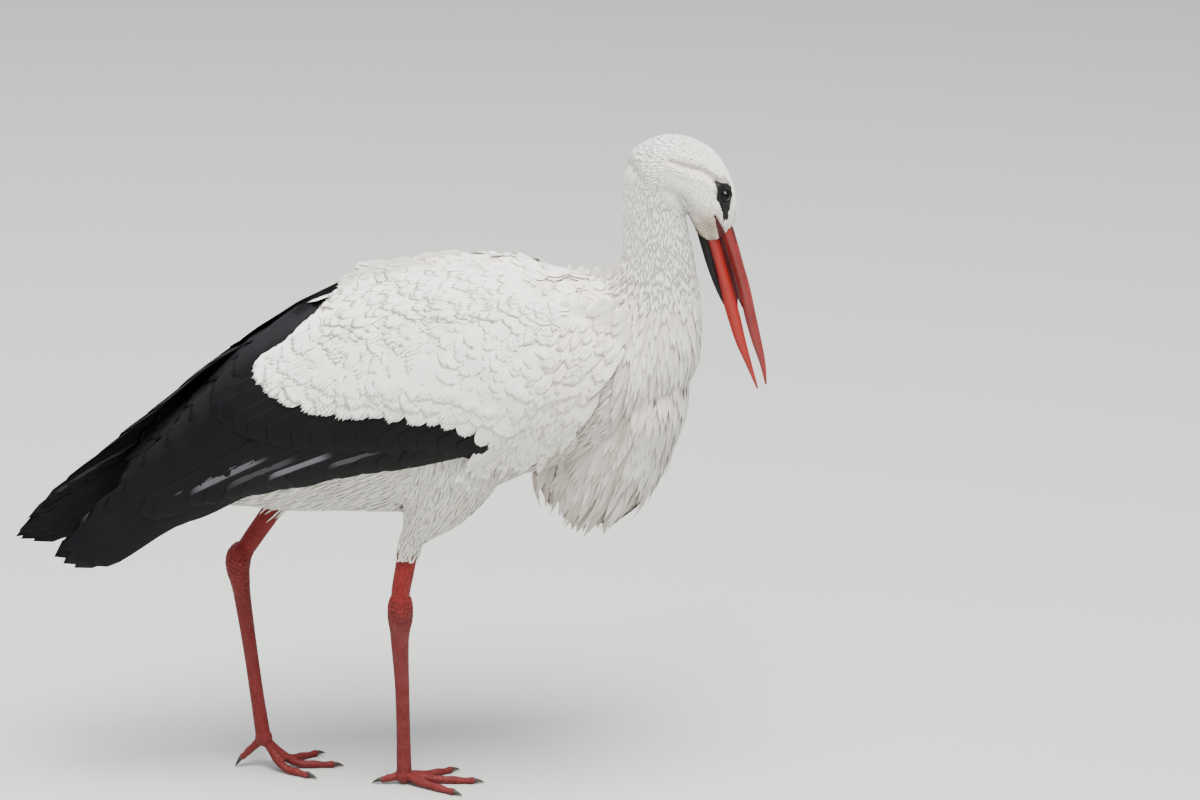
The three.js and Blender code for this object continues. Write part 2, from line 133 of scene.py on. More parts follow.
# the folded wing: x, middle, half height, half width, lower edge, ridge
wingOverBody = [
    [176, 453, 113, 98, 507, 64], [152, 452, 121, 102, 466, 52], [130, 450, 125, 104.5, 430, 42],
    [88, 446, 127, 105, 400, 30], [40, 439, 127, 103, 382, 18], [-14, 428, 121, 97, 377, 9],
    [-60, 418, 115, 90, 363, 4], [-105, 406, 106, 82, 351, 2], [-150, 390, 94, 73, 338, 2]]
wingEnds = {
    -1: [[-191, 352, 89, 65, 329, 2], [-232, 322, 80, 55, 319, 2], [-262, 294, 78, 48, 293, 2],
         [-285, 270, 76, 43, 269, 2], [-310, 258, 56, 37, 257, 2], [-332, 247, 38, 31, 246, 2],
         [-347, 255, 14, 25, 254, 2]],
    1: [[-191, 356, 101, 65, 330, 2], [-235, 326, 92, 55, 318, 2], [-272, 300, 89, 48, 296, 2],
        [-306, 283, 77, 41, 282, 2], [-342, 270, 58, 34, 269, 2], [-374, 262, 32, 27, 261, 2],
        [-397, 260, 8, 20, 259, 2]]}
legRows = {
    -1: {"thigh": [[74, -46, 400, 58, 36], [64, -49, 362, 55, 35], [50, -50, 328, 42, 29],
                   [36, -50, 304, 28, 22], [27, -49, 288, 18, 15], [22, -49, 277, 12.5, 11.5]],
         "shank": [[30, -49, 300, 11, 9], [21, -48, 275, 10.6, 8.6], [14.5, -45, 243, 10.2, 8],
                   [11, -41, 222, 9.8, 8.6], [10.5, -39, 206, 9, 8]],
         "tarsus": [[11, -40.5, 218, 11, 9.6], [10.6, -39, 207, 13.4, 11.8], [10.2, -37.5, 192, 13, 11.4],
                    [9.6, -35, 178, 10.6, 9.2], [9.4, -32, 160, 9.2, 7.8], [10.6, -24, 112, 7.6, 6.6],
                    [11, -17, 60, 7.4, 6.4], [11, -13.5, 30, 7.8, 7.6], [11, -12, 13, 8, 8.4]],
         "heel": [11, -12, 9]},
    1: {"thigh": [[-8, 46, 396, 56, 36], [-38, 49, 362, 50, 34], [-68, 51, 334, 37, 28],
                  [-94, 51, 314, 24, 20], [-110, 51, 302, 16, 14], [-119, 50.5, 294, 12, 11]],
        "shank": [[-98, 51, 312, 11, 9], [-120, 50, 290, 10.8, 8.6], [-138, 47, 266, 10.4, 8],
                  [-152, 44, 246, 10, 8.6], [-161, 42.5, 232, 9, 8]],
        "tarsus": [[-155, 43.5, 243, 11, 9.6], [-161.5, 42.5, 234, 13.6, 11.8], [-163, 41.5, 221, 12.8, 11.4],
                   [-161, 40.5, 207, 10.6, 9.2], [-159, 39.5, 190, 9, 7.8], [-152, 36.5, 135, 7.6, 6.6],
                   [-145.5, 33, 82, 7.4, 6.4], [-141.5, 30.5, 52, 7.8, 7.6], [-139.5, 29, 37, 8, 8.4]],
        "heel": [-139, 29, 35]}}

# camera, lamps and floor

view = {"aim": (0.2213, 0, 0.419), "distance": 5.0, "elevation": 17.5, "lens": 145.6, "sensor": 36.0}


def placeCamera():
    lift = math.radians(view["elevation"])
    camera = bpy.data.objects.new("camera", bpy.data.cameras.new("camera"))
    camera.data.lens = view["lens"]
    camera.data.sensor_width = view["sensor"]
    camera.data.clip_end = 60
    back = Vector((0, -math.cos(lift), math.sin(lift))) * view["distance"]
    camera.location = Vector(view["aim"]) + back
    camera.rotation_euler = (math.pi / 2 - lift, 0, 0)
    bpy.context.collection.objects.link(camera)
    bpy.context.scene.camera = camera


studio = {
    "floorSize": 16.0, "floorColour": (0.56, 0.57, 0.55, 1), "lampAim": (0, 0, 0.4),
    "world": (0.84, 0.91, 1.0, 1), "worldStrength": 0.5,
    # name, place, size, watts, colour
    "lamps": [("keyLamp", (0.6, -1.4, 4.8), 2.8, 690, (1, 0.975, 0.93)),
              ("rearLamp", (-2.4, 1.8, 3.4), 2.5, 80, (0.92, 0.96, 1)),
              ("sideLamp", (-2.2, -3.0, 1.8), 2.2, 30, (1, 0.98, 0.94))]}


def lightStudio():
    bm = bmesh.new()
    bmesh.ops.create_grid(bm, x_segments=1, y_segments=1, size=studio["floorSize"] / 2)
    mesh = bpy.data.meshes.new("floor")
    bm.to_mesh(mesh)
    bm.free()
    floor = bpy.data.objects.new("floor", mesh)
    bpy.context.collection.objects.link(floor)
    material = bpy.data.materials.new("floorPaint")
    material.use_nodes = True
    shader = material.node_tree.nodes["Principled BSDF"]
    shader.inputs["Base Color"].default_value = studio["floorColour"]
    shader.inputs["Roughness"].default_value = 0.9
    mesh.materials.append(material)
    for name, place, size, watts, colour in studio["lamps"]:
        lamp = bpy.data.objects.new(name, bpy.data.lights.new(name, "AREA"))
        lamp.data.size = size
        lamp.data.energy = watts
        lamp.data.color = colour
        lamp.location = place
        lamp.rotation_euler = (Vector(studio["lampAim"]) - lamp.location).to_track_quat("-Z", "Y").to_euler()
        bpy.context.collection.objects.link(lamp)
    world = bpy.data.worlds.new("sky")
    world.use_nodes = True
    world.node_tree.nodes["Background"].inputs[0].default_value = studio["world"]
    world.node_tree.nodes["Background"].inputs[1].default_value = studio["worldStrength"]
    bpy.context.scene.world = world


placeCamera()
lightStudio()
print("camera and light placed")


def newObject(name, mesh):
    piece = bpy.data.objects.new(name, mesh)
    bpy.context.collection.objects.link(piece)
    return piece


def placedGrid(points, wrap=True, tips=(), ring=False):
    # a grid whose corners are placed one by one; wrap closes it into a tube, ring closes the tube on itself
    rows, columns = points.shape[:2]
    places = np.concatenate([points, points[:1]], axis=0) if ring else points
    places = np.concatenate([places, places[:, :1]], axis=1) if wrap else places
    bm = bmesh.new()
    bmesh.ops.create_grid(bm, x_segments=columns - (not wrap), y_segments=rows - (not ring), size=1)
    for vert, place in zip(bm.verts, toMetres(places.reshape(-1, 3)).tolist()):
        vert.co = place
    if wrap:
        bmesh.ops.remove_doubles(bm, verts=bm.verts, dist=mergeDistance)
        rim = [edge for edge in bm.edges if edge.is_boundary]
        ends = bmesh.ops.holes_fill(bm, edges=rim, sides=0)["faces"] if rim else []
        for tip in tips:
            bmesh.ops.poke(bm, faces=[ends[tip]])
        bmesh.ops.recalc_face_normals(bm, faces=bm.faces)
    return bm


def meshOf(name, *parts):
    # one object from several bmeshes
    whole = bmesh.new()
    for part in parts:
        mesh = bpy.data.meshes.new(name)
        part.to_mesh(mesh)
        part.free()
        whole.from_mesh(mesh)
        bpy.data.meshes.remove(mesh)
    mesh = bpy.data.meshes.new(name)
    whole.to_mesh(mesh)
    whole.free()
    return newObject(name, mesh)


def takenApart(piece):
    # the piece's mesh as a bmesh, with the piece itself gone
    bm = bmesh.new()
    bm.from_mesh(piece.data)
    bpy.data.objects.remove(piece)
    return bm


def applied(piece):
    # the piece with its modifiers made part of its mesh
    ready = piece.evaluated_get(bpy.context.evaluated_depsgraph_get())
    mesh = bpy.data.meshes.new_from_object(ready)
    piece.modifiers.clear()
    old = piece.data
    piece.data = mesh
    bpy.data.meshes.remove(old)
    return piece


def remeshed(piece, voxel, smoothing=0):
    remesh = piece.modifiers.new("remesh", "REMESH")
    remesh.mode = "VOXEL"
    remesh.voxel_size = voxel * mm
    if smoothing:
        smooth = piece.modifiers.new("smooth", "SMOOTH")
        smooth.factor = 0.5
        smooth.iterations = smoothing
    return applied(piece)


def joined(piece, other):
    union = piece.modifiers.new("union", "BOOLEAN")
    union.operation = "UNION"
    union.solver = "MANIFOLD"
    union.object = other
    applied(piece)
    bpy.data.objects.remove(other)
    return piece


def corners(mesh):
    places = np.empty(len(mesh.vertices) * 3)
    mesh.vertices.foreach_get("co", places)
    return places.reshape(-1, 3)


def moveCorners(mesh, places):
    mesh.vertices.foreach_set("co", places.ravel())
    mesh.update()


def cornerNormals(mesh):
    normals = np.empty(len(mesh.vertices) * 3)
    mesh.vertices.foreach_get("normal", normals)
    return normals.reshape(-1, 3)


def finished(piece, material, replaced=()):
    # one piece with its material, its place in the frame and the parts of the drawing that it stands for
    mesh = piece.data
    mesh.polygons.foreach_set("use_smooth", np.ones(len(mesh.polygons), bool))
    mesh.materials.clear()
    mesh.materials.append(material)
    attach(piece, "root")
    if replaced:
        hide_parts(*replaced)
    return piece


def paintMesh(mesh, name, values):
    layer = mesh.attributes.new(name, "FLOAT", "POINT")
    layer.data.foreach_set("value", np.asarray(values, np.float32))


class Socket:
    # a node socket that takes part in ordinary sums
    def __init__(self, nodes, link):
        self.nodes, self.link = nodes, link

    def combine(self, operation, first, second=0.0, clamp=False):
        return self.nodes.add("ShaderNodeMath", {"operation": operation, "use_clamp": clamp},
                              {0: first, 1: second})

    def __add__(self, other):
        return self.combine("ADD", self, other)

    def __radd__(self, other):
        return self.combine("ADD", other, self)

    def __sub__(self, other):
        return self.combine("SUBTRACT", self, other)

    def __rsub__(self, other):
        return self.combine("SUBTRACT", other, self)

    def __mul__(self, other):
        return self.combine("MULTIPLY", self, other)

    def __rmul__(self, other):
        return self.combine("MULTIPLY", other, self)

    def limited(self):
        return self.combine("ADD", self, 0.0, clamp=True)

    def sine(self):
        return self.combine("SINE", self)

    def size(self):
        return self.combine("ABSOLUTE", self)


class Finish:
    # one material, with its nodes
    def __init__(self, name, constants):
        self.material = bpy.data.materials.new(name)
        self.material.use_nodes = True
        self.tree = self.material.node_tree
        self.shader = self.tree.nodes["Principled BSDF"]
        for socket, value in constants.items():
            self.shader.inputs[socket].default_value = value

    def add(self, kind, settings=None, inputs=None, output=0):
        node = self.tree.nodes.new(kind)
        for setting, value in (settings or {}).items():
            setattr(node, setting, value)
        for socket, value in (inputs or {}).items():
            if isinstance(value, Socket):
                self.tree.links.new(value.link, node.inputs[socket])
            else:
                node.inputs[socket].default_value = value
        return Socket(self, node.outputs[output])

    def place(self):
        return self.add("ShaderNodeTexCoord", output="Object")

    def axis(self, name):
        return self.add("ShaderNodeSeparateXYZ", {}, {0: self.place()}, name)

    def mapped(self, scale):
        return self.add("ShaderNodeMapping", {}, {"Vector": self.place(), "Scale": scale})

    def noise(self, scale, detail=4.0, rough=0.55, source=None):
        inputs = {"Vector": source or self.place(), "Scale": scale, "Detail": detail, "Roughness": rough}
        return self.add("ShaderNodeTexNoise", {}, inputs)

    def cells(self, scale, source):
        settings = {"feature": "DISTANCE_TO_EDGE"}
        return self.add("ShaderNodeTexVoronoi", settings, {"Vector": source, "Scale": scale})

    def attribute(self, name):
        return self.add("ShaderNodeAttribute", {"attribute_name": name}, output="Fac")

    def ramp(self, value, low, high, first=0.0, last=1.0):
        inputs = {"Value": value, "From Min": low, "From Max": high, "To Min": first, "To Max": last}
        return self.add("ShaderNodeMapRange", {"interpolation_type": "SMOOTHSTEP"}, inputs)

    def blend(self, share, first, second):
        first, second = (colour if isinstance(colour, Socket) else (*colour, 1) for colour in (first, second))
        return self.add("ShaderNodeMix", {"data_type": "RGBA"}, {0: share, 6: first, 7: second}, 2)

    def bump(self, height, distance, strength=1.0):
        inputs = {"Height": height, "Distance": distance * mm, "Strength": strength}
        return self.add("ShaderNodeBump", {}, inputs)

    def feed(self, **sockets):
        names = {"colour": "Base Color", "roughness": "Roughness", "normal": "Normal"}
        for name, value in sockets.items():
            self.tree.links.new(value.link, self.shader.inputs[names[name]])
        return self.material


# shade and duskyShade are painted shade: shade darkens the hidden roots of white feathers, duskyShade is the
# warm grey that the breast and its plumes are tinted towards
plumagePaint = {
    "white": (0.91, 0.89, 0.845), "cream": (0.8, 0.71, 0.575), "shade": (0.4, 0.355, 0.3),
    "duskyShade": (0.37, 0.315, 0.25), "fawn": (0.5, 0.43, 0.32),
    "black": (0.0026, 0.0026, 0.0036), "brownBlack": (0.005, 0.0042, 0.0042), "rim": (0.012, 0.012, 0.015),
    "silver": (0.2, 0.205, 0.23)}


def barbs(finish, slant, spacing):
    # fine lines that run outwards and forwards from each feather's shaft, and the distance across from it
    vane = finish.add("ShaderNodeUVMap", {"uv_map": "Vane"})
    across = finish.add("ShaderNodeSeparateXYZ", {}, {0: vane}, "X")
    along = finish.add("ShaderNodeSeparateXYZ", {}, {0: vane}, "Y")
    lines = ((along - across.size() * slant) * (2 * math.pi / (spacing * mm))).sine()
    return lines, across


# roughness, gloss and sheen; warm patches: noise scale, from, to and strength; root: how dark the painted
# shade on the hidden part of each feather is, and how far along it that reaches
whiteKinds = {
    "white": {"name": "whitePlumage", "gloss": (0.82, 0.22, 0.2), "patches": (22, 0.42, 0.72, 0.22),
              "warm": "cream", "root": (0.22, 0.5), "fine": 900, "bump": 0.35},
    "hanging": {"name": "breastPlumage", "gloss": (0.82, 0.22, 0.2), "patches": (22, 0.42, 0.72, 0.22),
                "warm": "duskyShade", "root": (0.52, 0.95), "fine": 900, "bump": 0.35},
    "down": {"name": "whiteDown", "gloss": (0.85, 0.2, 0.3), "patches": (26, 0.4, 0.7, 0.14),
             "warm": "fawn", "root": (0.25, 0.6), "fine": 1100, "bump": 0.4}}


def whitePlumage(kind):
    plan = whiteKinds[kind]
    roughness, specular, sheen = plan["gloss"]
    finish = Finish(plan["name"], {"Roughness": roughness, "Specular IOR Level": specular,
                                   "Sheen Weight": sheen, "Sheen Roughness": 0.6})
    # the tint attribute carries each feather's warm tone, and in places painted shade as well
    tint = finish.attribute("tint")
    scale, low, high, strength = plan["patches"]
    warm = (finish.ramp(finish.noise(scale, 3), low, high) * strength + tint).limited()
    colour = finish.blend(warm, plumagePaint["white"], plumagePaint[plan["warm"]])
    root, rootEnd = plan["root"]
    # painted shade: each feather darkens towards its root, where the feathers over it would shade it
    paintedRootShade = finish.ramp(finish.attribute("rootDepth"), 0.0, rootEnd, root, 0.0)
    colour = finish.blend(paintedRootShade, colour, plumagePaint["shade"])
    lines = None if kind == "down" else barbs(finish, 1.2, 0.9)[0]
    relief = finish.noise(plan["fine"], 2, 0.6)
    if lines:
        relief = lines * 0.5 + relief
    return finish.feed(colour=colour, normal=finish.bump(relief, 0.12, plan["bump"]))


def blackPlumage():
    finish = Finish("blackPlumage", {"Roughness": 0.5, "Specular IOR Level": 0.13})
    lines, across = barbs(finish, 1.0, 0.8)
    wear = finish.noise(24, 3)
    colour = finish.blend(finish.ramp(wear, 0.4, 0.7), plumagePaint["black"], plumagePaint["brownBlack"])
    # painted sheen: both edges of each black feather are made lighter
    side = finish.attribute("vaneSide")
    rim = finish.ramp(side.size(), 0.84, 1.0, 0.0, 0.45)
    colour = finish.blend(rim, colour, plumagePaint["rim"])
    # worn pale edges along the outer webs of a few feathers
    depth = finish.attribute("rootDepth")
    worn = finish.ramp(side, 0.5, 0.62) * finish.ramp(depth, 0.5, 0.62)
    worn = worn * finish.ramp(depth, 0.86, 0.97, 1.0, 0.0)
    silver = (finish.attribute("tint") * worn * (lines * 0.2 + 0.8)).limited()
    colour = finish.blend(silver, colour, plumagePaint["silver"])
    shaft = finish.ramp(across.size(), 0.0006, 0.0014, 1.0, 0.0)
    height = lines * 0.35 + shaft * 1.5 + finish.noise(700, 2)
    roughness = finish.ramp(wear, 0.3, 0.7, 0.44, 0.56)
    return finish.feed(colour=colour, roughness=roughness, normal=finish.bump(height, 0.14, 0.5))


skinPaint = {
    "pale": (0.72, 0.66, 0.6), "red": (0.23, 0.007, 0.006), "deepRed": (0.12, 0.006, 0.006),
    "bloom": (0.185, 0.026, 0.024), "rose": (0.155, 0.016, 0.017), "groove": (0.06, 0.005, 0.005),
    "black": (0.004, 0.0036, 0.004), "mouth": (0.085, 0.005, 0.005), "hipHeight": 0.299}


def skinFinish():
    finish = Finish("birdSkin", {"Roughness": 0.6, "Specular IOR Level": 0.3})
    height = finish.axis("Z")
    leg = finish.ramp(height, skinPaint["hipHeight"] - 0.002, skinPaint["hipHeight"], 1.0, 0.0)
    scutes = finish.cells(230, finish.mapped((1, 1, 0.62)))
    grooves = finish.ramp(scutes, 0.0, 0.08, 1.0, 0.0)
    mottle = finish.noise(60, 5)
    dust = finish.ramp(finish.noise(95, 6, 0.7), 0.35, 0.75)
    lower = finish.ramp(height, 0.185, 0.225, 1.0, 0.0)
    red = finish.blend((lower * 0.95).limited(), skinPaint["red"], skinPaint["rose"])
    red = finish.blend(finish.ramp(mottle, 0.35, 0.75, 0.0, 0.6), red, skinPaint["deepRed"])
    red = finish.blend((dust * finish.ramp(height, 0.17, 0.24, 0.7, 0.2)).limited(), red, skinPaint["bloom"])
    red = finish.blend((grooves * 0.5).limited(), red, skinPaint["groove"])
    # painted shade in the wrinkles round the ankles
    broken = finish.ramp(finish.noise(140, 3), 0.35, 0.62)
    red = finish.blend((finish.attribute("creaseShade") * broken * 0.8).limited(), red, skinPaint["groove"])
    # painted shade: the left leg, the far one in the body's shadow, is made darker than the right
    red = finish.blend(finish.ramp(finish.axis("Y"), 0.0, 0.02, 0.0, 0.5), red, skinPaint["deepRed"])
    colour = finish.blend(leg, skinPaint["pale"], red)
    colour = finish.blend(finish.attribute("mouth"), colour, skinPaint["mouth"])
    colour = finish.blend(finish.attribute("bareFace"), colour, skinPaint["black"])
    wrinkles = finish.noise(420, 5, 0.7)
    roughness = finish.ramp(mottle, 0.3, 0.7, 0.48, 0.68)
    height = (1 - grooves * leg) * 0.8 + wrinkles * 0.35
    return finish.feed(colour=colour, roughness=roughness, normal=finish.bump(height, 0.5, 0.8))


billPaint = {"orange": (0.34, 0.01, 0.005), "pink": (0.21, 0.016, 0.014), "deep": (0.12, 0.005, 0.005),
             "dusk": (0.055, 0.004, 0.005), "black": (0.008, 0.005, 0.006)}


def billFinish(name, upper):
    finish = Finish(name, {"Roughness": 0.36, "Specular IOR Level": 0.5, "Coat Roughness": 0.3})
    along = finish.attribute("billLength")
    streaks = finish.noise(70, 5, 0.6, finish.mapped((1, 1, 0.1)))
    blotch = finish.noise(34, 4)
    main, other = ("pink", "orange") if upper else ("orange", "pink")
    colour = finish.blend(finish.ramp(streaks, 0.42, 0.72), billPaint[main], billPaint[other])
    colour = finish.blend((finish.ramp(blotch, 0.5, 0.75) * 0.5).limited(), colour, billPaint["deep"])
    # billEdge: painted shade on the inner faces between the two halves, and a darker band near the cutting
    # edge
    edge = finish.attribute("billEdge")
    colour = finish.blend((edge * 0.75).limited(), colour, billPaint["dusk"])
    # billDark: the nostril slit painted black as painted shade, and the dark line at the keel's base
    colour = finish.blend(finish.attribute("billDark"), colour, billPaint["black"])
    colour = finish.blend(finish.ramp(along, 0.93, 1.0, 0.0, 0.45), colour, billPaint["deep"])
    roughness = finish.ramp(streaks, 0.3, 0.75, 0.28, 0.5)
    height = streaks + finish.noise(500, 4) * 0.15
    return finish.feed(colour=colour, roughness=roughness, normal=finish.bump(height, 0.25, 0.5))


eyePaint = {"iris": (0.006, 0.004, 0.003), "fibre": (0.003, 0.002, 0.0016), "pupil": (0.001, 0.001, 0.0012),
            "rim": (0.002, 0.0018, 0.0018)}


def eyeFinish():
    finish = Finish("eyeGloss", {"Roughness": 0.12, "Specular IOR Level": 0.16, "Coat Weight": 0.04,
                                 "Coat Roughness": 0.03})
    across = finish.attribute("eyeRing")
    fibres = finish.noise(900, 3)
    iris = finish.blend(fibres, eyePaint["iris"], eyePaint["fibre"])
    colour = finish.blend(finish.ramp(across, 0.5, 0.56, 1.0, 0.0), iris, eyePaint["pupil"])
    colour = finish.blend(finish.ramp(across, 0.9, 1.0), colour, eyePaint["rim"])
    return finish.feed(colour=colour)


clawPaint = {"horn": (0.022, 0.016, 0.015), "worn": (0.11, 0.055, 0.045)}


def clawFinish():
    finish = Finish("clawHorn", {"Roughness": 0.4, "Specular IOR Level": 0.45})
    grain = finish.noise(200, 5, 0.6, finish.mapped((0.2, 1, 1)))
    colour = finish.blend(finish.ramp(grain, 0.4, 0.7), clawPaint["horn"], clawPaint["worn"])
    roughness = finish.ramp(grain, 0.3, 0.7, 0.32, 0.52)
    return finish.feed(colour=colour, roughness=roughness, normal=finish.bump(grain, 0.2, 0.5))


finishes = {kind: whitePlumage(kind) for kind in whiteKinds}
finishes |= {"black": blackPlumage(), "skin": skinFinish(), "eye": eyeFinish()}
print("materials made")


# how deep the skin lies under each coat
coat = {"trunk": 6.0, "neck": 4.0, "head": 1.3, "thigh": 6.0, "wing": 7.0}
skinDetail = {"bodyVoxel": 4.2, "headVoxel": 1.25, "legVoxel": 1.05, "bodySmoothing": 10, "headSmoothing": 4}
eyePlan = {"radius": 6.5, "place": (341.8, 17.6, 639.5), "outward": (0.3, 1.0, 0.05)}
wingStations = 90


def wingGrid(side, inset=0.0, share=(0.0, 1.0), stations=wingStations, points=40):
    # the outer face of a folded wing: stations along the bird, points from the ridge down to the lower edge
    rows = smoothRows(wingOverBody + wingEnds[side], stations)
    x, centre, tall, wide, lower, ridge = (rows[:, n:n + 1] for n in range(6))
    first = np.arccos(np.minimum(ridge / wide, 1))
    last = np.arcsin(np.maximum((lower - centre) / tall, -0.97))
    t = np.linspace(*share, points)[None]
    angle = first + (last - first) * t
    y, z = np.cos(angle) * (wide - inset), np.sin(angle) * (tall - inset)
    return np.stack([x + 0 * y, side * y, centre + z], -1)


def wingCore(side):
    # the flesh of the folded wing, a closed pad under the coverts
    outer = wingGrid(side, coat["wing"], (0.02, 0.86), points=26)[2:46]
    inner = wingGrid(side, coat["wing"] + 9, (0.06, 0.8), points=26)[2:46]
    return placedGrid(np.concatenate([outer, inner[:, ::-1]], axis=1))


def headLoft(inset, stations=60, sides=60):
    return turnHead(limbGrid(headRows, stations, sides, inset=inset))


# toes: degrees from straight ahead towards the outer side, length
footPlan = {"inner": (-30, 74 * 0.76), "middle": (2, 74), "outer": (33, 74 * 0.86), "hind": (172, 24)}
toeSize = {"root": 5.4, "tip": 3.9, "rest": 0.82, "pad": 9.4, "claw": 12.0, "web": 24.0, "longest": 74.0}


def toeHeight(share, heel, radius, hind):
    rest = radius * toeSize["rest"]
    if hind:
        return rest + (heel - rest) * (1 - 0.75 * share)
    knuckle = 1.2 * math.sin(share * math.pi * 3) ** 2 * (1 - share)
    return rest + (heel - rest) * max(1 - share / 0.55, 0) ** 1.6 + knuckle


def toePath(side, name, steps=7):
    x, y, z = legRows[side]["heel"]
    degrees, length = footPlan[name]
    angle = side * math.radians(degrees)
    rows = []
    for step in range(steps + 1):
        share = step / steps
        swell = 0.5 * math.cos(share * math.pi * 6)
        radius = toeSize["root"] + (toeSize["tip"] - toeSize["root"]) * share + swell
        run = share * length
        rows.append([x + run * math.cos(angle), y + run * math.sin(angle),
                     toeHeight(share, z, radius, name == "hind"), radius * 0.9, radius])
    return rows


def clawGrid(path):
    end, before = np.array(path[-1]), np.array(path[-2])
    run = unit(end[:3] - before[:3])
    rows = []
    for share in np.linspace(0, 1, 5):
        out = share * toeSize["claw"] - 1.5
        radius = 0.35 + 2.9 * (1 - share) ** 0.8
        bend = 0.9 * share * (1 - share) - max(end[2] - 4, 0) * 0.4 * share ** 2
        height = max(end[2] + run[2] * out + bend - 2.6 * share ** 2, radius + 0.1)
        rows.append([end[0] + run[0] * out, end[1] + run[1] * out, height, radius, radius * 0.8])
    return limbGrid(rows, 22, 20)


def webGrid(side, first, second):
    x, y, z = legRows[side]["heel"]
    tips = [side * math.radians(footPlan[name][0]) for name in (first, second)]
    spots = np.array([[x + toeSize["web"] * math.cos(a), y + toeSize["web"] * math.sin(a)] for a in tips])
    drop = toeHeight(toeSize["web"] / toeSize["longest"], z, toeSize["root"], False)
    reach = np.linalg.norm(spots[0] - spots[1]) / 2
    goal = spots.mean(axis=0)
    rows = [[x + share * (goal[0] - x), y + share * (goal[1] - y), z + share * (drop - z), 2.2 - share,
             2 + reach * share] for share in (0, 0.5, 1)]
    return limbGrid(rows, 12, 24)


def ball(centre, radii, segments=32):
    bm = bmesh.new()
    bmesh.ops.create_uvsphere(bm, u_segments=segments, v_segments=segments // 2, radius=1)
    bmesh.ops.scale(bm, vec=Vector(radii) * mm, verts=bm.verts)
    bmesh.ops.translate(bm, vec=Vector(toMetres(centre)), verts=bm.verts)
    return bm


# heights of the ankles, how far their wrinkles and knobs reach, and how deep and far apart the grooves are
legDetail = {"ankles": (203, 228), "creaseReach": 15, "creaseDepth": 0.55, "knobs": (203, 232),
             "knobReach": 14, "knobHeight": 0.5, "ringGap": 4.4, "ringDepth": 0.32, "ringsFrom": (22, 40),
             "ringsTo": (170, 185), "jointShift": (2.0, 6.5, -6), "jointRadii": (8.5, 6.6, 10.5)}


def legSkin(side):
    rows = legRows[side]
    parts = [placedGrid(limbGrid(rows["shank"], 40, 32)), placedGrid(limbGrid(rows["tarsus"], 70, 36))]
    parts.append(ball(rows["heel"], (toeSize["pad"],) * 3))
    parts += [placedGrid(limbGrid(toePath(side, name), 44, 22)) for name in footPlan]
    parts += [placedGrid(webGrid(side, *pair)) for pair in (("inner", "middle"), ("middle", "outer"))]
    # the ankle's two round knobs
    ankle = np.array(rows["tarsus"][1][:3], float)
    for way in (1, -1):
        shift = np.array(legDetail["jointShift"]) * [1, way, 1]
        parts.append(ball(ankle + shift, legDetail["jointRadii"], 24))
    return parts


def ankleCreases(places):
    # how deep the wrinkles round the ankles are at each spot
    x, y, z = (places / mm).T
    near, far = (np.exp(-((z - ankle) / legDetail["creaseReach"]) ** 2) for ankle in legDetail["ankles"])
    ankle = near * (y < 0) + far * (y > 0)
    wave = np.sin(z * 0.62 + 1.3 * np.sin(x * 0.31 + y * 0.42) + 0.8 * np.sin(y * 0.7))
    return ankle * ease(0.55, 0.95, np.abs(wave))


def roughLegs(piece):
    # ring scutes down the front, knobbly skin round the ankle, and soles cut flat on the floor
    mesh = piece.data
    places, normals = corners(mesh), cornerNormals(mesh)
    z = places[:, 2] / mm
    rings = np.abs(np.sin(z * math.pi / legDetail["ringGap"]))
    front = ease(0.1, 0.8, normals[:, 0])
    onTarsus = ease(*legDetail["ringsFrom"], z) * (1 - ease(*legDetail["ringsTo"], z))
    groove = -legDetail["ringDepth"] * (1 - ease(0, 0.35, rings)) * front * onTarsus
    waves = np.sin(places[:, 0] * 900) * np.sin(places[:, 1] * 1100) * np.sin(z * 0.95)
    knobs = legDetail["knobHeight"] * waves
    near, far = (np.exp(-((z - knob) / legDetail["knobReach"]) ** 2) for knob in legDetail["knobs"])
    ankle = near + far * (places[:, 1] > 0)
    creases = -legDetail["creaseDepth"] * ankleCreases(places)
    places = places + normals * ((groove + knobs * ankle + creases) * mm)[:, None]
    places[:, 2] = np.maximum(places[:, 2], 0)
    moveCorners(mesh, places)


def eyeFrame(side):
    # the middle of one eye and the direction it looks in
    mirror = np.array([1, side, 1])
    return np.array(eyePlan["place"]) * mirror, unit(np.array(eyePlan["outward"]) * mirror)


# reach of the rim, how pointed its corners are, its height against its length, how far it stands out
lidPlan = {"reach": 6.7, "corner": 0.16, "height": 0.95, "rise": 2.4, "cornerDrop": 0.9, "width": 1.4,
           "slant": (0.42, 0, -0.9), "around": 72, "section": 16}


def lidRing(side):
    # the two lids as one ring round the eye, a little longer than high and pointed in front and behind
    centre, outward = eyeFrame(side)
    forward = unit(np.array(lidPlan["slant"]) - outward * np.dot(lidPlan["slant"], outward))
    upward = np.cross(forward, outward) * side
    around = np.linspace(0, 2 * math.pi, lidPlan["around"], endpoint=False)
    section = np.linspace(0, 2 * math.pi, lidPlan["section"], endpoint=False)
    point = 1 + lidPlan["corner"] * np.abs(np.cos(around)) ** 6
    reach = lidPlan["reach"]
    ringX, ringY = np.cos(around) * reach * point, np.sin(around) * reach * lidPlan["height"]
    rise = lidPlan["rise"] - lidPlan["cornerDrop"] * np.abs(np.cos(around)) ** 3
    across = ringX[:, None] * forward + ringY[:, None] * upward
    middleLine = centre + across + rise[:, None] * outward
    away = unit(across)[:, None]
    thick = (1.0 + 0.25 * np.sin(around))[:, None, None]
    cos, sin = np.cos(section)[None, :, None], np.sin(section)[None, :, None]
    points = middleLine[:, None] + away * (cos * lidPlan["width"] * thick) + outward * (sin * thick)
    return placedGrid(turnHead(points), ring=True)


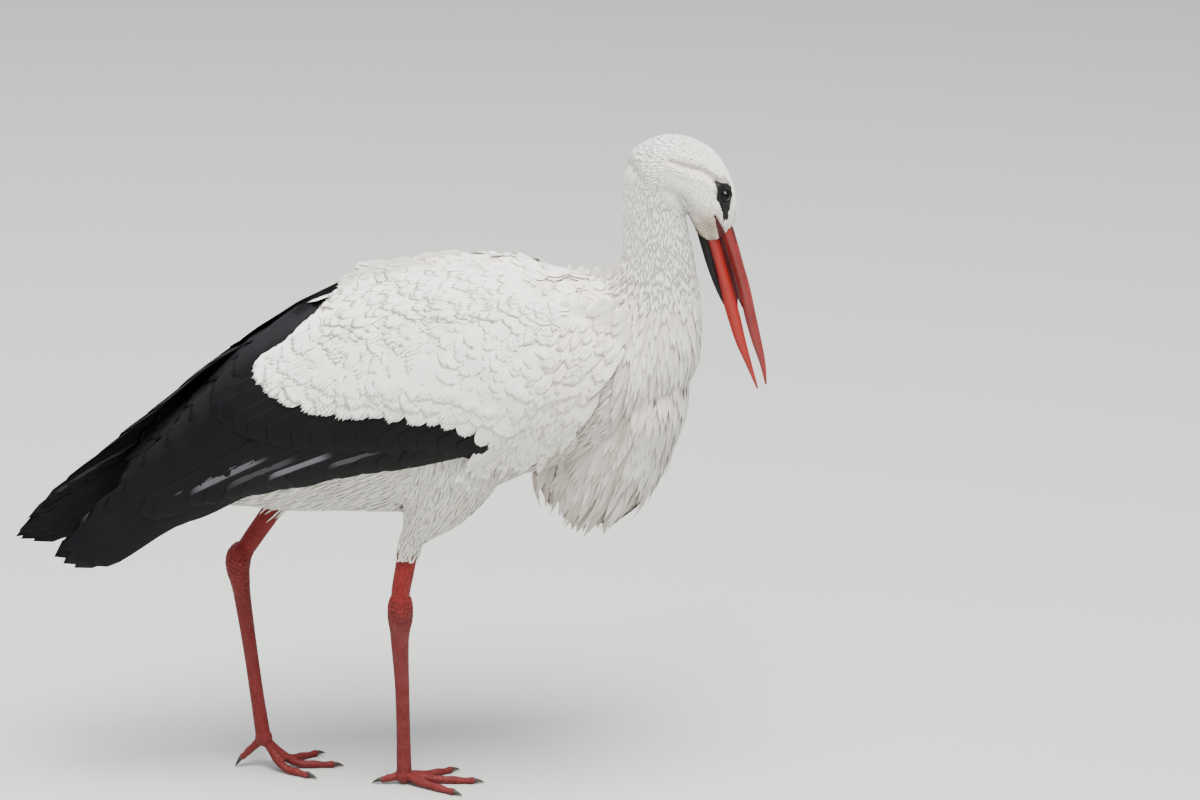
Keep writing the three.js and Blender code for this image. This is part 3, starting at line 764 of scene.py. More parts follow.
# the bare black skin round the eye, seen from the side in the head's own place: x, z
faceOutline = [
    (331.0, 656), (338, 653.5), (345, 651), (350.5, 645), (351.0, 633), (348.0, 622), (345.2, 611),
    (341.5, 610), (339.8, 618), (337.0, 627), (333.5, 632), (332.4, 638), (333.2, 646)]
# the fold over the cheek, from the rear corner of the eye back
browFold = [(333, 655), (323.6, 664), (312, 669.5), (300, 673.5), (286, 679)]


def distanceToStretch(x, z, start, end):
    dx, dz = end[0] - start[0], end[1] - start[1]
    t = np.clip(((x - start[0]) * dx + (z - start[1]) * dz) / (dx * dx + dz * dz), 0, 1)
    return np.hypot(x - start[0] - t * dx, z - start[1] - t * dz)


def insideOutline(x, z, outline):
    # signed distance to an outline, positive inside
    spots = np.array(outline, float)
    inside = np.zeros(len(x), bool)
    nearest = np.full(len(x), 1e9)
    for (ax, az), (bx, bz) in zip(spots, np.roll(spots, -1, axis=0)):
        crosses = ((az > z) != (bz > z)) & (x < (bx - ax) * (z - az) / (bz - az + 1e-12) + ax)
        inside ^= crosses
        nearest = np.minimum(nearest, distanceToStretch(x, z, (ax, az), (bx, bz)))
    return np.where(inside, nearest, -nearest)


def distanceToLine(x, z, line):
    return np.min([distanceToStretch(x, z, a, b) for a, b in zip(line, line[1:])], axis=0)


def headPlaces(places):
    # metres in the model to millimetres in the head's own, unturned place
    return turnHead(places / mm - [originShift, 0, 0], back=True)


throatRows = middle([
    [321.5, 604, 6.8, 7.2], [324.5, 590, 6, 6.8], [331.8, 560, 4.4, 5.2], [339.5, 535, 2.7, 3.3],
    [345.5, 518, 0.9, 1.2]])


# how far the skin of the face moves, in millimetres, and over what distance each move fades
headShape = {"fold": (-2.8, 3.0), "foldRim": (1.5, 7, 4.0), "bareSkin": -0.8, "cheek": 1.8, "gape": -2.2,
             "cheekPlace": (322, 612), "cheekReach": (12, 20), "lidClearance": (7.2, 10.5)}


def shapeHead(piece):
    # brow fold, hollow lores and the round lobe of the cheek, all by gentle moves of the skin
    mesh = piece.data
    places, normals = corners(mesh), cornerNormals(mesh)
    local = headPlaces(places)
    x, y, z = local.T
    sides = ease(6, 14, np.abs(y))
    fold = distanceToLine(x, z, browFold)
    depth, reach = headShape["fold"]
    push = depth * np.exp(-(fold / reach) ** 2) * sides
    height, away, reach = headShape["foldRim"]
    push += height * np.exp(-((fold - away) / reach) ** 2) * sides
    push += headShape["bareSkin"] * ease(-1.5, 2.0, insideOutline(x, z, faceOutline)) * sides
    cheek = (np.stack([x, z], -1) - headShape["cheekPlace"]) / headShape["cheekReach"]
    push += headShape["cheek"] * np.exp(-np.hypot(*cheek.T) ** 2) * sides
    push += headShape["gape"] * ease(2.5, -1.0, gapeDepth(x, z)) * (np.abs(y) > 3)
    eyeX, eyeY, eyeZ = eyePlan["place"]
    lids = np.linalg.norm(local - [eyeX, 0, eyeZ] - np.sign(y)[:, None] * [0, eyeY, 0], axis=1)
    push = push * ease(*headShape["lidClearance"], lids)
    moveCorners(mesh, places + normals * (push * mm)[:, None])


# pads of flesh between the wings, inside the breast and at the nape
fillers = {
    "mantle": middle([[190, 500, 50, 60], [130, 515, 55, 40], [88, 520, 48, 34], [40, 520, 40, 26],
                      [-14, 505, 38, 18], [-60, 490, 34, 10]]),
    "breast": middle([[262, 446, 34, 38], [246, 412, 50, 44], [229, 382, 54, 41], [217, 356, 48, 33],
                      [210, 338, 32, 22]]),
    "nape": ((268, 0, 655), (25.5, 21, 34.5)),
    "lobe": [[317, 8, 626, 11, 7], [322, 8.5, 613, 11, 7], [326, 8.5, 602, 9, 6], [329.5, 8.5, 592.5, 5, 4]]}


# the dark wedge of skin behind the corner of the mouth: x, z
gapeLine = [(331.5, 618), (335, 610), (338.5, 602), (340.5, 596)]


def gapeDepth(x, z):
    # distance into the wedge at the corner of the mouth, which widens towards the bill
    return distanceToLine(x, z, gapeLine) - 1.0 - 2.6 * ease(619, 597, z)


def paintSkin(mesh):
    local = headPlaces(corners(mesh))
    x, y, z = local.T
    patch = ease(-1.2, 0.2, insideOutline(x, z, faceOutline)) * (np.abs(y) > 8)
    spine = np.array(throatRows)[:, [0, 2]]
    throat = 1 - ease(7.5, 8.5, distanceToLine(x, z, [tuple(spot) for spot in spine]))
    throat = throat * (z < 603) * (np.abs(y) < 10)
    paintMesh(mesh, "bareFace", np.maximum(patch, throat))
    gape = 1 - ease(0.3, 1.2, gapeDepth(x, z))
    paintMesh(mesh, "mouth", gape * (np.abs(y) > 4))
    paintMesh(mesh, "creaseShade", ankleCreases(corners(mesh)))


def buildSkin():
    skullParts = [placedGrid(headLoft(coat["head"])), ball(*fillers["nape"]),
                  placedGrid(limbGrid(neckRows[5:], 50, 48, upwards, coat["neck"]))]
    skullParts += [placedGrid(turnHead(limbGrid(np.array(fillers["lobe"]) * [1, side, 1, 1, 1], 24, 28)))
                   for side in (1, -1)]
    skull = remeshed(meshOf("skull", *skullParts), 1.8, 9)
    headParts = [takenApart(skull), placedGrid(turnHead(limbGrid(throatRows, 40, 28)))]
    headParts += [lidRing(side) for side in (1, -1)]
    head = remeshed(meshOf("headSkin", *headParts), skinDetail["headVoxel"], skinDetail["headSmoothing"])
    shapeHead(head)
    bodyParts = [placedGrid(limbGrid(trunkRows, 70, 60, forwards, coat["trunk"])),
                 placedGrid(limbGrid(neckRows[:8], 60, 48, upwards, coat["neck"])),
                 placedGrid(limbGrid(fillers["mantle"], 40, 40, forwards)),
                 placedGrid(limbGrid(fillers["breast"], 40, 40, downwards))]
    for side in (-1, 1):
        bodyParts.append(placedGrid(limbGrid(legRows[side]["thigh"], 40, 36, inset=coat["thigh"])))
    bodyParts += [wingCore(side) for side in (-1, 1)]
    body = remeshed(meshOf("skin", *bodyParts), skinDetail["bodyVoxel"], skinDetail["bodySmoothing"])
    legs = remeshed(meshOf("legSkin", *(legSkin(-1) + legSkin(1))), skinDetail["legVoxel"], 3)
    roughLegs(legs)
    skin = joined(joined(body, head), legs)
    paintSkin(skin.data)
    flesh = ["trunk", "neck", "head", "throat_skin"]
    flesh += [f"{part}_{side}" for part in ("thigh", "shank", "tarsus", "foot") for side in ("left", "right")]
    print("skin made,", len(skin.data.vertices), "corners")
    return finished(skin, finishes["skin"], flesh)


skin = buildSkin()


# rows of the two halves of the bill
billRows = {
    "upper": middle([
        [340, 617, 5.5, 7.5], [344.6, 606, 6.4, 9], [348.2, 597, 6.7, 10], [351, 588, 6.6, 10],
        [358.8, 561.6, 6.1, 9.4], [366.4, 534, 6.2, 8.1], [372.4, 506.4, 6.2, 6.4], [379.3, 478.7, 5.3, 4.8],
        [386.1, 453.7, 3.3, 2.9], [390, 431, 0.9, 1]]),
    "lower": middle([
        [323, 617, 6, 6.5], [327, 606, 7.4, 8], [329.8, 597, 7.6, 9], [332.4, 588.5, 7.5, 9.2],
        [339.8, 562.4, 6.8, 8.6], [347.6, 534.9, 6.9, 7.4], [355.4, 507.2, 6.9, 6], [363, 479.5, 5.6, 4.4],
        [371.6, 454.4, 3.3, 3], [381, 427, 0.9, 1]])}
billPlan = {"stations": 190, "sides": 72, "edgeAngle": 60.0, "hollow": 0.12, "nostrilTop": 599.0,
            "nostrilEnd": 583.0, "nostrilAngle": 46.0, "lining": {"upper": 0.66, "lower": 0.6}}


def billHalf(which):
    # culmen or keel, two cutting edges, and an inner face between them that is hollow towards the tip
    plan, rows = billPlan, billRows[which]
    grid = limbGrid(rows, plan["stations"], plan["sides"])
    spine = smoothRows(rows, plan["stations"])
    centre = spine[:, None, :3]
    angle = turns(plan["sides"])
    upperHalf = which == "upper"
    facing = np.sin(angle) if upperHalf else -np.sin(angle)
    edge = math.radians(plan["edgeAngle"])
    inner = facing < -math.sin(edge)
    across, outward = np.cos(angle)[None], facing[None] + 0 * spine[:, :1]
    # near its root the mouth's lining fills most of the space between the halves
    share = np.clip(across / math.cos(edge), -1, 1)
    lining = plan["lining"][which] * ease(508, 530, spine[:, 2:3])
    sunk = (-math.sin(edge) + plan["hollow"] * (1 - share ** 2)
            - lining * ease(0.0, 0.45, 1 - np.abs(share)))
    outward = np.where(inner[None], sunk, outward)
    narrow = 1 - (0.2 if upperHalf else 0.3) * np.maximum(outward, 0) ** 1.3
    across = np.where(inner[None], across + 0 * outward, across * narrow)
    tall, wide = spine[:, 3:4, None], spine[:, 4:5, None]
    side, up = limbFrame(spine)
    sign = 1 if upperHalf else -1
    points = (centre + side[:, None] * across[..., None] * wide
              + up[:, None] * (sign * outward)[..., None] * tall)
    z = points[..., 2]
    degrees = np.degrees(np.arcsin(np.clip(facing, -1, 1)))[None]
    normal = unit(grid - centre)
    if upperHalf:
        slit = np.exp(-((degrees - plan["nostrilAngle"]) / 9) ** 2)
        length = ease(plan["nostrilEnd"] - 2, plan["nostrilEnd"] + 2, z)
        length = length * (1 - ease(plan["nostrilTop"] - 2, plan["nostrilTop"] + 2, z))
        furrow = ease(520, 560, z) * np.exp(-((degrees - 34) / 10) ** 2) * 0.35
        points = points - normal * ((slit * length * 1.9 + furrow) * (facing > 0))[..., None]
    rim = np.exp(-((degrees + plan["edgeAngle"]) / 9) ** 2) * (~inner) * 0.25
    points = points + normal * rim[..., None]
    length = np.linspace(0, 1, plan["stations"])[:, None] + 0 * degrees
    # the inner faces, in the gap between the two halves, are darkened as painted shade
    edgeTint = np.where(inner, 1.3, np.exp(-((degrees[0] + 30) / 8) ** 2) * 0.4) + 0 * length
    dark = np.zeros(length.shape)
    if upperHalf:
        # painted shade: the nostril slit is painted black
        dark = slit * ease(plan["nostrilEnd"], plan["nostrilEnd"] + 3, z) * (facing > 0)
    else:
        # a dark line along the keel's base, where the bare throat meets the bill
        dark = ease(-0.35, 0.2, facing - 0.75)[None] * ease(520, 570, z) * (~inner)
    return turnHead(points), {"billLength": length, "billEdge": edgeTint, "billDark": dark}


class Kd:
    # nearest of many points
    def __init__(self, points):
        self.tree = KDTree(len(points))
        for index, point in enumerate(points.tolist()):
            self.tree.insert(point, index)
        self.tree.balance()

    def nearest(self, places):
        return np.array([self.tree.find(place)[1] for place in places.tolist()])


def buildBill(which):
    points, paints = billHalf(which)
    piece = meshOf("bill" + which.capitalize(), placedGrid(points, tips=(0, 1)))
    index = Kd(toMetres(points.reshape(-1, 3))).nearest(corners(piece.data))
    for name, values in paints.items():
        paintMesh(piece.data, name, values.reshape(-1)[index])
    horn = billFinish(piece.name + "Horn", which == "upper")
    finished(piece, horn, ["bill_" + which])


def buildEye(side):
    centre, outward = eyeFrame(side)
    bm = bmesh.new()
    bmesh.ops.create_uvsphere(bm, u_segments=64, v_segments=40, radius=1)
    mesh = bpy.data.meshes.new("eye")
    bm.to_mesh(mesh)
    bm.free()
    places = corners(mesh)
    # the cornea stands out of the ball in front
    front = ease(0.8, 1.0, places[:, 2])
    ring = np.hypot(places[:, 0], places[:, 1]) / 0.62
    places = places * (1 + 0.05 * front)[:, None]
    turn = np.array(Vector((0, 0, 1)).rotation_difference(Vector(outward)).to_matrix())
    places = places @ turn.T * (eyePlan["radius"] - 0.15) + centre
    moveCorners(mesh, toMetres(turnHead(places)))
    paintMesh(mesh, "eyeRing", np.where(front > 0, ring, 1.2))
    name = "left" if side > 0 else "right"
    finished(newObject("eye" + name.capitalize(), mesh), finishes["eye"], ["eye_" + name])


def buildClaws():
    parts = []
    for side in (-1, 1):
        parts += [placedGrid(clawGrid(toePath(side, name)), tips=(0, 1)) for name in footPlan]
    horns = [f"claw_{name}_{side}" for name in footPlan for side in ("left", "right")]
    finished(meshOf("claws", *parts), clawFinish(), horns)


for half in ("upper", "lower"):
    buildBill(half)
for eyeSide in (1, -1):
    buildEye(eyeSide)
buildClaws()
print("bill, eyes and claws made")


class Ground:
    # a surface for feathers to lie on
    def __init__(self, places, triangles, normals):
        self.parts = (places, triangles, normals)
        self.tree = BVHTree.FromPolygons(places.tolist(), triangles.tolist())
        self.normals = unit(normals[triangles].mean(axis=1))

    def nearest(self, places):
        hits = [self.tree.find_nearest(place) for place in places.reshape(-1, 3).tolist()]
        spots = np.array([hit[0] for hit in hits]).reshape(places.shape)
        faces = np.array([hit[2] for hit in hits])
        return spots, self.normals[faces].reshape(places.shape)


def together(first, second):
    places, triangles, normals = zip(first.parts, second.parts)
    triangles = np.concatenate([triangles[0], triangles[1] + len(places[0])])
    return Ground(np.concatenate(places), triangles, np.concatenate(normals))


def groundOf(mesh, low=-1.0):
    mesh.calc_loop_triangles()
    triangles = np.empty(len(mesh.loop_triangles) * 3, np.int32)
    mesh.loop_triangles.foreach_get("vertices", triangles)
    triangles = triangles.reshape(-1, 3)
    places = corners(mesh)
    kept = triangles[places[triangles[:, 0], 2] > low]
    return Ground(places, kept, cornerNormals(mesh))


def groundOfGrid(grid, wrap=True):
    bm = placedGrid(grid, wrap)
    mesh = bpy.data.meshes.new("ground")
    bm.to_mesh(mesh)
    bm.free()
    ground = groundOf(mesh)
    if not wrap and ground.normals[:, 2].mean() < 0:
        ground.normals = -ground.normals
    bpy.data.meshes.remove(mesh)
    return ground


def sampleGrid(grid, row, column, wrap=True):
    # values between the corners of a grid
    rows, columns = grid.shape[:2]
    i = np.clip(row.astype(int), 0, rows - 2)
    j = np.floor(column).astype(int)
    s, t = np.clip(row - i, 0, 1)[:, None], (column - j)[:, None]
    if wrap:
        left, right = j % columns, (j + 1) % columns
    else:
        left, right = np.clip(j, 0, columns - 1), np.clip(j + 1, 0, columns - 1)
    above = grid[i, left] * (1 - t) + grid[i, right] * t
    below = grid[i + 1, left] * (1 - t) + grid[i + 1, right] * t
    return above * (1 - s) + below * s


def scatter(grid, rowGap, acrossGap, wander=0.4, wrap=True, span=(0.0, 1.0)):
    # staggered rows of roots over a loft: their places, the loft's direction there, and where on its unwrap
    rows, columns = grid.shape[:2]
    ring = np.concatenate([grid, grid[:, :1]], axis=1) if wrap else grid
    length = np.concatenate([[0], np.cumsum(np.linalg.norm(np.diff(grid, axis=0), axis=2).mean(axis=1))])
    girth = np.linalg.norm(np.diff(ring, axis=1), axis=2).sum(axis=1)
    at, odd, row, around = span[0] * length[-1], 0, [], []
    while at < span[1] * length[-1]:
        share = at / length[-1]
        gap = rowGap(share) if callable(rowGap) else rowGap
        width = acrossGap(share) if callable(acrossGap) else acrossGap
        place = np.interp(at, length, np.arange(rows))
        count = max(int(np.interp(place, np.arange(rows), girth) / width), 3)
        step = np.arange(count) + 0.5 * (odd % 2) + wander * random.uniform(-0.5, 0.5, count)
        shift = wander * gap * random.uniform(-0.5, 0.5, count)
        row.append(np.interp(at + shift, length, np.arange(rows)))
        around.append(step / count)
        at, odd = at + gap, odd + 1
    row, around = np.concatenate(row), np.concatenate(around)
    column = around * (columns if wrap else columns - 1)
    places = sampleGrid(grid, row, column, wrap)
    flow = sampleGrid(np.gradient(grid, axis=0), row, column, wrap)
    unwrap = np.stack([around % 1.0, row / (rows - 1)], -1)
    return {"place": places, "flow": unit(flow), "unwrap": unwrap, "share": row / (rows - 1)}


def chosen(roots, keep):
    return {name: values[keep] for name, values in roots.items()}


def offSurface(place, surface):
    # how far each spot is from a surface, and which way the surface faces there
    spots, normals = surface.nearest(toMetres(place))
    return np.linalg.norm(spots - toMetres(place), axis=1), normals


def between(values, low, share):
    # for each feather, values part of the way from one of its stations to the next
    row = np.arange(len(values))[:, None]
    return values[row, low] * (1 - share) + values[row, low + 1] * share


def combed(roots, heading, length, stations, ground):
    # walks each feather's middle line over the ground
    spot, normal = ground.nearest(toMetres(roots))
    step = (np.asarray(length) * mm / (stations - 1)).reshape(-1, 1)
    places, normals = [], []
    for _ in range(stations):
        places.append(spot)
        normals.append(normal)
        heading = unit(heading - normal * (heading * normal).sum(axis=1, keepdims=True))
        spot, normal = ground.nearest(spot + heading * step)
    return np.stack(places, 1), unit(np.stack(normals, 1))


# the width of a feather along its length
outlines = {
    "lancet": lambda t: np.minimum(0.35 + 2.6 * t, 1) * np.minimum(1, (1 - t) * 2.0 + 0.06) ** 0.9,
    "leaf": lambda t: np.minimum(0.4 + 2.4 * t, 1) * np.sqrt(1 - np.clip((t - 0.42) / 0.59, 0, 1) ** 1.7),
    "round": lambda t: np.minimum(0.3 + 2.4 * t, 1) * np.sqrt(1 - np.clip((t - 0.5) / 0.515, 0, 1) ** 2.6),
    "tertial": lambda t: np.minimum(0.45 + 1.6 * t, 1) * np.sqrt(1 - np.clip((t - 0.58) / 0.43, 0, 1) ** 2.2),
    "blade": lambda t: np.minimum(0.45 + 1.6 * t, 1) * np.sqrt(1 - np.clip((t - 0.84) / 0.165, 0, 1) ** 2.2),
    "slender": lambda t: outlines["leaf"](t) * (1 - 0.35 * ease(0.5, 1, t)),
    "pointed": lambda t: outlines["leaf"](t) * (1 - 0.5 * ease(0.45, 1, t)),
    "plume": lambda t: np.minimum(0.35 + 2.2 * t, 1) * np.minimum(1, (1 - t) * 1.9 + 0.03) ** 0.9}


def sectionOf(across):
    # one section of a vane: how far across, how far down as a share of its thickness, and which rim
    top = np.linspace(-1, 1, across)
    below = top[1:-1][::-1] if across > 3 else np.array([])
    u = np.concatenate([top, below])
    down = np.concatenate([np.zeros(across), np.ones(len(below))])
    rim = np.zeros(len(u), int)
    if across > 3:
        rim[0], rim[across - 1] = 1, 2
    return u, down, rim


def vanes(places, normals, half, lift, unwrap, tint, across=3, thick=0.4, camber=0.25, shaft=0.0, roll=0.0):
    # closed thin vanes, one for each row of places; half widths, lifts and thickness in millimetres
    count, stations = places.shape[:2]
    u, down, rim = sectionOf(across)
    lift = np.broadcast_to(lift, (count, stations))[..., None] * mm
    half = np.broadcast_to(half, (count, stations))
    line = places + normals * lift
    along = unit(np.gradient(line, axis=1))
    right = unit(np.cross(along, normals))
    up = np.cross(right, along)
    t = np.linspace(0, 1, stations)
    thin = thick * (1 - 0.55 * t)[None, :, None]
    height = (-camber * np.abs(u) ** 1.7 * half[..., None] - down * thin * (1 - np.abs(u))
              + shaft * (np.abs(u) < 0.01) * (1 - down) * (1 - 0.7 * t)[None, :, None]
              + np.reshape(roll, (-1, 1, 1)) * u * half[..., None])
    reach = u * half[..., None]
    body = (line[:, :, None] + right[:, :, None] * (reach * mm)[..., None]
            + up[:, :, None] * (height * mm)[..., None])
    ring = len(u)
    spots = np.concatenate([body[:, :-1].reshape(count, -1, 3), line[:, -1:]], axis=1)
    steps = np.linalg.norm(np.diff(line, axis=1), axis=2)
    length = np.concatenate([np.zeros((count, 1)), np.cumsum(steps, 1)], 1)
    vaneAcross = np.concatenate([(u * half[:, :-1, None] * mm).reshape(count, -1), np.zeros((count, 1))], 1)
    vaneAlong = np.concatenate([np.repeat(length[:, :-1], ring, 1), length[:, -1:]], 1)
    shareAlong = np.concatenate([np.repeat(t[:-1], ring), [1.0]])
    shareAcross = np.concatenate([np.tile(u * 0.5 + 0.5, stations - 1), [0.5]])
    rims = np.concatenate([np.tile(rim, stations - 1), [0]])
    quads = [[i * ring + j, i * ring + (j + 1) % ring, (i + 1) * ring + (j + 1) % ring, (i + 1) * ring + j]
             for i in range(stations - 2) for j in range(ring)]
    last = (stations - 2) * ring
    tips = [[last + j, last + (j + 1) % ring, (stations - 1) * ring] for j in range(ring)]
    cap = [list(range(ring))[::-1]]
    loops = [np.array(group).ravel() for group in (quads, tips, cap)]
    sizes = [4] * len(quads) + [3] * len(tips) + [ring]
    return {"spots": spots, "loops": np.concatenate(loops), "sizes": np.array(sizes), "rims": rims,
            "unwrap": unwrap, "across": shareAcross, "along": shareAlong, "side": shareAcross * 2 - 1,
            "vane": np.stack([vaneAcross, vaneAlong], -1), "tint": np.broadcast_to(tint, (count,))}


def combedVanes(roots, heading, length, stations, rise, half, shape, tint, surface=None, part=(0, 0.5),
                sunk=None, **section):
    # vanes combed over a surface; rise: lift at the root, what it gains by the tip, power it grows with;
    # part: where on the unwrap they start and how much of it they take; sunk: how deep their roots lie
    places, normals = combed(roots["place"], heading, length, stations, surface or ground)
    t = np.linspace(0, 1, stations)
    first, gain, power = rise
    lift = first + gain[:, None] * t ** power
    if sunk is not None:
        lift = lift - sunk[:, None] * (1 - ease(0, 0.6, t))
    unwrap = roots["unwrap"] * [1, part[1]] + [0, part[0]]
    return vanes(places, normals, half[:, None] * outlines[shape](t), lift, unwrap, tint, **section)


patchSize = 0.003


def featherPiece(name, bunches, finish, replaced=()):
    # one joined mesh from bunches of vanes
    pools, offset = {}, 0
    for bunch in bunches:
        count, each = bunch["spots"].shape[:2]
        index = (bunch["loops"][None] + (np.arange(count) * each)[:, None]).ravel()
        patch = np.stack([bunch["across"], bunch["along"]], -1) * patchSize
        bake = (bunch["unwrap"][:, None] * (1 - patchSize) + patch[None]).reshape(-1, 2)
        pooled = {"spots": bunch["spots"].reshape(-1, 3), "loops": index + offset, "bake": bake[index],
                  "vane": bunch["vane"].reshape(-1, 2)[index], "tint": np.repeat(bunch["tint"], each)}
        pooled |= {key: np.tile(bunch[key], count) for key in ("sizes", "along", "rims", "side")}
        for key, values in pooled.items():
            pools.setdefault(key, []).append(values)
        offset += count * each
    pools = {key: np.concatenate(values) for key, values in pools.items()}
    sizes = pools["sizes"]
    mesh = bpy.data.meshes.new(name)
    mesh.vertices.add(offset)
    mesh.vertices.foreach_set("co", pools["spots"].ravel())
    mesh.loops.add(len(pools["loops"]))
    mesh.loops.foreach_set("vertex_index", pools["loops"].astype(np.int32))
    mesh.polygons.add(len(sizes))
    mesh.polygons.foreach_set("loop_start", (np.cumsum(sizes) - sizes).astype(np.int32))
    mesh.update(calc_edges=True)
    for layer, key in (("OFBake", "bake"), ("Vane", "vane")):
        flat = pools[key].ravel().astype(np.float32)
        mesh.uv_layers.new(name=layer).uv.foreach_set("vector", flat)
    paintMesh(mesh, "tint", pools["tint"])
    paintMesh(mesh, "rootDepth", pools["along"])
    if finish == "black":
        paintMesh(mesh, "vaneSide", pools["side"])
    if pools["rims"].any():
        edges = np.empty(len(mesh.edges) * 2, np.int32)
        mesh.edges.foreach_get("vertices", edges)
        first, second = pools["rims"][edges.reshape(-1, 2)].T
        sharp = mesh.attributes.new("sharp_edge", "BOOLEAN", "EDGE")
        sharp.data.foreach_set("value", (first > 0) & (first == second))
    finished(newObject(name, mesh), finishes[finish], replaced)
    print(name, int((sizes - 2).sum()), "triangles")


def spread(values, low, high):
    return low + (high - low) * np.clip(values, 0, 1)


def vary(count, amount):
    return 1 + amount * random.uniform(-1, 1, count)


ground = groundOf(skin.data, 0.262)
print("ground ready")


# head: short, soft feathers that get longer towards the nape

headCoat = {"rowGap": 2.2, "acrossGap": 1.9, "faceLength": 4.2, "napeLength": 13.0, "faceHalf": 0.95,
            "napeHalf": 1.6, "stations": 4, "lidClearance": 7.4, "lobe": (326, 601, 12, 16), "lobeTint": 1.1,
            "foldShade": 0.4, "chinTint": 0.14}
# where the feathers of the face end towards the bill: x, z
featherMargin = np.array([
    (300, 604), (309, 600), (318, 595), (326, 591), (331, 589.5), (337, 592), (342, 598), (348, 599.6),
    (356, 600.5), (370, 601)], float)


def headFeathers():
    grid = headLoft(coat["head"], 110, 90)
    roots = scatter(grid, lambda share: headCoat["rowGap"] * spread(share, 1.35, 0.72),
                    lambda share: headCoat["acrossGap"] * spread(share, 1.15, 0.8))
    y = turnHead(roots["place"], back=True)[:, 1]
    spots, _ = ground.nearest(toMetres(roots["place"]))
    x, _, z = headPlaces(spots).T
    eye = np.hypot(x - eyePlan["place"][0], z - eyePlan["place"][2])
    bare = (insideOutline(x, z, faceOutline) > -0.6) | (gapeDepth(x, z) < 0.4)
    keep = ~((bare | (eye < headCoat["lidClearance"])) & (np.abs(y) > 5))
    keep &= z > np.interp(x, featherMargin[:, 0], featherMargin[:, 1])
    roots = chosen(roots, keep)
    place = roots["place"]
    x, y, z = turnHead(place, back=True).T
    count = len(place)
    share = roots["share"]
    toBill = ease(0.3, 0.9, share)
    length = spread(toBill, headCoat["napeLength"], headCoat["faceLength"]) * vary(count, 0.25)
    half = spread(toBill, headCoat["napeHalf"], headCoat["faceHalf"]) * vary(count, 0.2)
    nape = ease(282, 250, place[:, 0])[:, None]
    heading = unit(-roots["flow"] + downwards * 1.2 * nape) + random.normal(0, 0.06, (count, 3))
    lobeX, lobeZ, lobeLong, lobeHigh = headCoat["lobe"]
    lobe = np.exp(-((x - lobeX) / lobeLong) ** 2 - ((z - lobeZ) / lobeHigh) ** 2)
    fold = np.exp(-(distanceToLine(x, z, browFold) / 2.6) ** 2) * (np.abs(y) > 8)
    rise = (spread(toBill, 0.8, 0.45) + 0.9 * lobe) * vary(count, 0.12) * (1 - 0.7 * fold)
    # the cheek lobe's tint is partly its own beige and partly painted shade; the tint along the brow fold is
    # painted shade
    tint = 0.02 + headCoat["lobeTint"] * lobe + headCoat["foldShade"] * fold
    tint = tint + headCoat["chinTint"] * ease(655, 612, z) + random.uniform(-0.02, 0.04, count)
    return combedVanes(roots, heading, length, headCoat["stations"], (0.15, rise, 1.2), half, "leaf",
                       np.clip(tint, 0, 1))


# the little upright bristles over the root of the bill
tuftPlan = {"count": 70, "reach": 8, "low": 603, "high": 630, "half": 0.42, "shortest": 3.5, "longest": 7.0}


def foreheadTuft():
    count = tuftPlan["count"]
    y = random.uniform(-tuftPlan["reach"], tuftPlan["reach"], count)
    z = random.uniform(tuftPlan["low"], tuftPlan["high"], count)
    x = 350 + 12 * np.sqrt(np.clip(1 - (y / 15) ** 2, 0, 1))
    spots, normals = ground.nearest(toMetres(turnHead(np.stack([x, y, z], -1))))
    heading = unit(normals * 0.85 + np.array([0.1, 0, 0.15]) + random.normal(0, 0.28, (count, 3)))
    t = np.linspace(0, 1, 4)
    length = random.uniform(tuftPlan["shortest"], tuftPlan["longest"], count)
    places = spots[:, None] + heading[:, None] * (t[None] * length[:, None])[..., None] * mm
    side = unit(np.cross(heading, random.normal(0, 1, (count, 3))))
    half = tuftPlan["half"] * (1 - 0.8 * t)[None] * np.ones((count, 1))
    unwrap = np.stack([0.5 + y / 80, np.full(count, 0.46)], -1)
    return vanes(places, np.repeat(side[:, None], 4, 1), half, 0, unwrap, 0.0, camber=0.6)


neckCoat = {"rowGap": 4.2, "acrossGap": 2.6, "upperLength": 17.0, "lowerLength": 28.0, "half": 2.0,
            "stations": 5, "from": 575.0}


def neckFeathers():
    grid = limbGrid(neckRows, 120, 90, upwards, coat["neck"])
    roots = scatter(grid, neckCoat["rowGap"], neckCoat["acrossGap"], span=(0.24, 0.97))
    place = roots["place"]
    rear = ease(262, 236, place[:, 0])
    lowest = neckCoat["from"] - 20 - 48 * rear + random.uniform(-20, 20, len(rear)) * (1 - 0.7 * rear)
    roots = chosen(roots, place[:, 2] > lowest)
    roots = chosen(roots, offSurface(roots["place"], ground)[0] < 4 * mm)
    place = roots["place"]
    count = len(place)
    down = ease(670, 560, place[:, 2])
    length = spread(down, neckCoat["upperLength"], neckCoat["lowerLength"]) * vary(count, 0.2)
    heading = -roots["flow"] + random.normal(0, 0.02, (count, 3))
    rise = spread(down, 0.6, 1.2) * vary(count, 0.08)
    half = neckCoat["half"] * spread(down, 0.9, 1.35) * vary(count, 0.2)
    tint = 0.07 + 0.05 * down + random.uniform(-0.02, 0.05, count)
    return combedVanes(roots, heading, length, neckCoat["stations"], (0.3, rise, 1), half, "slender", tint,
                       part=(0.5, 0.5), thick=0.35, camber=0.16)


featherPiece("headCoat", [headFeathers(), foreheadTuft()], "down")
featherPiece("neckCoat", [neckFeathers()], "down")


# breast and lower neck: pointed feathers in tiers
chestCoat = {"rowGap": 13.0, "acrossGap": 6.6, "length": 26.0, "longest": 48.0, "half": 3.9, "stations": 9,
             "neckFineness": 0.55, "hangingInset": 4.5, "curl": 4.4, "tint": 0.1, "sideTint": 0.3,
             "lowTint": 0.12}


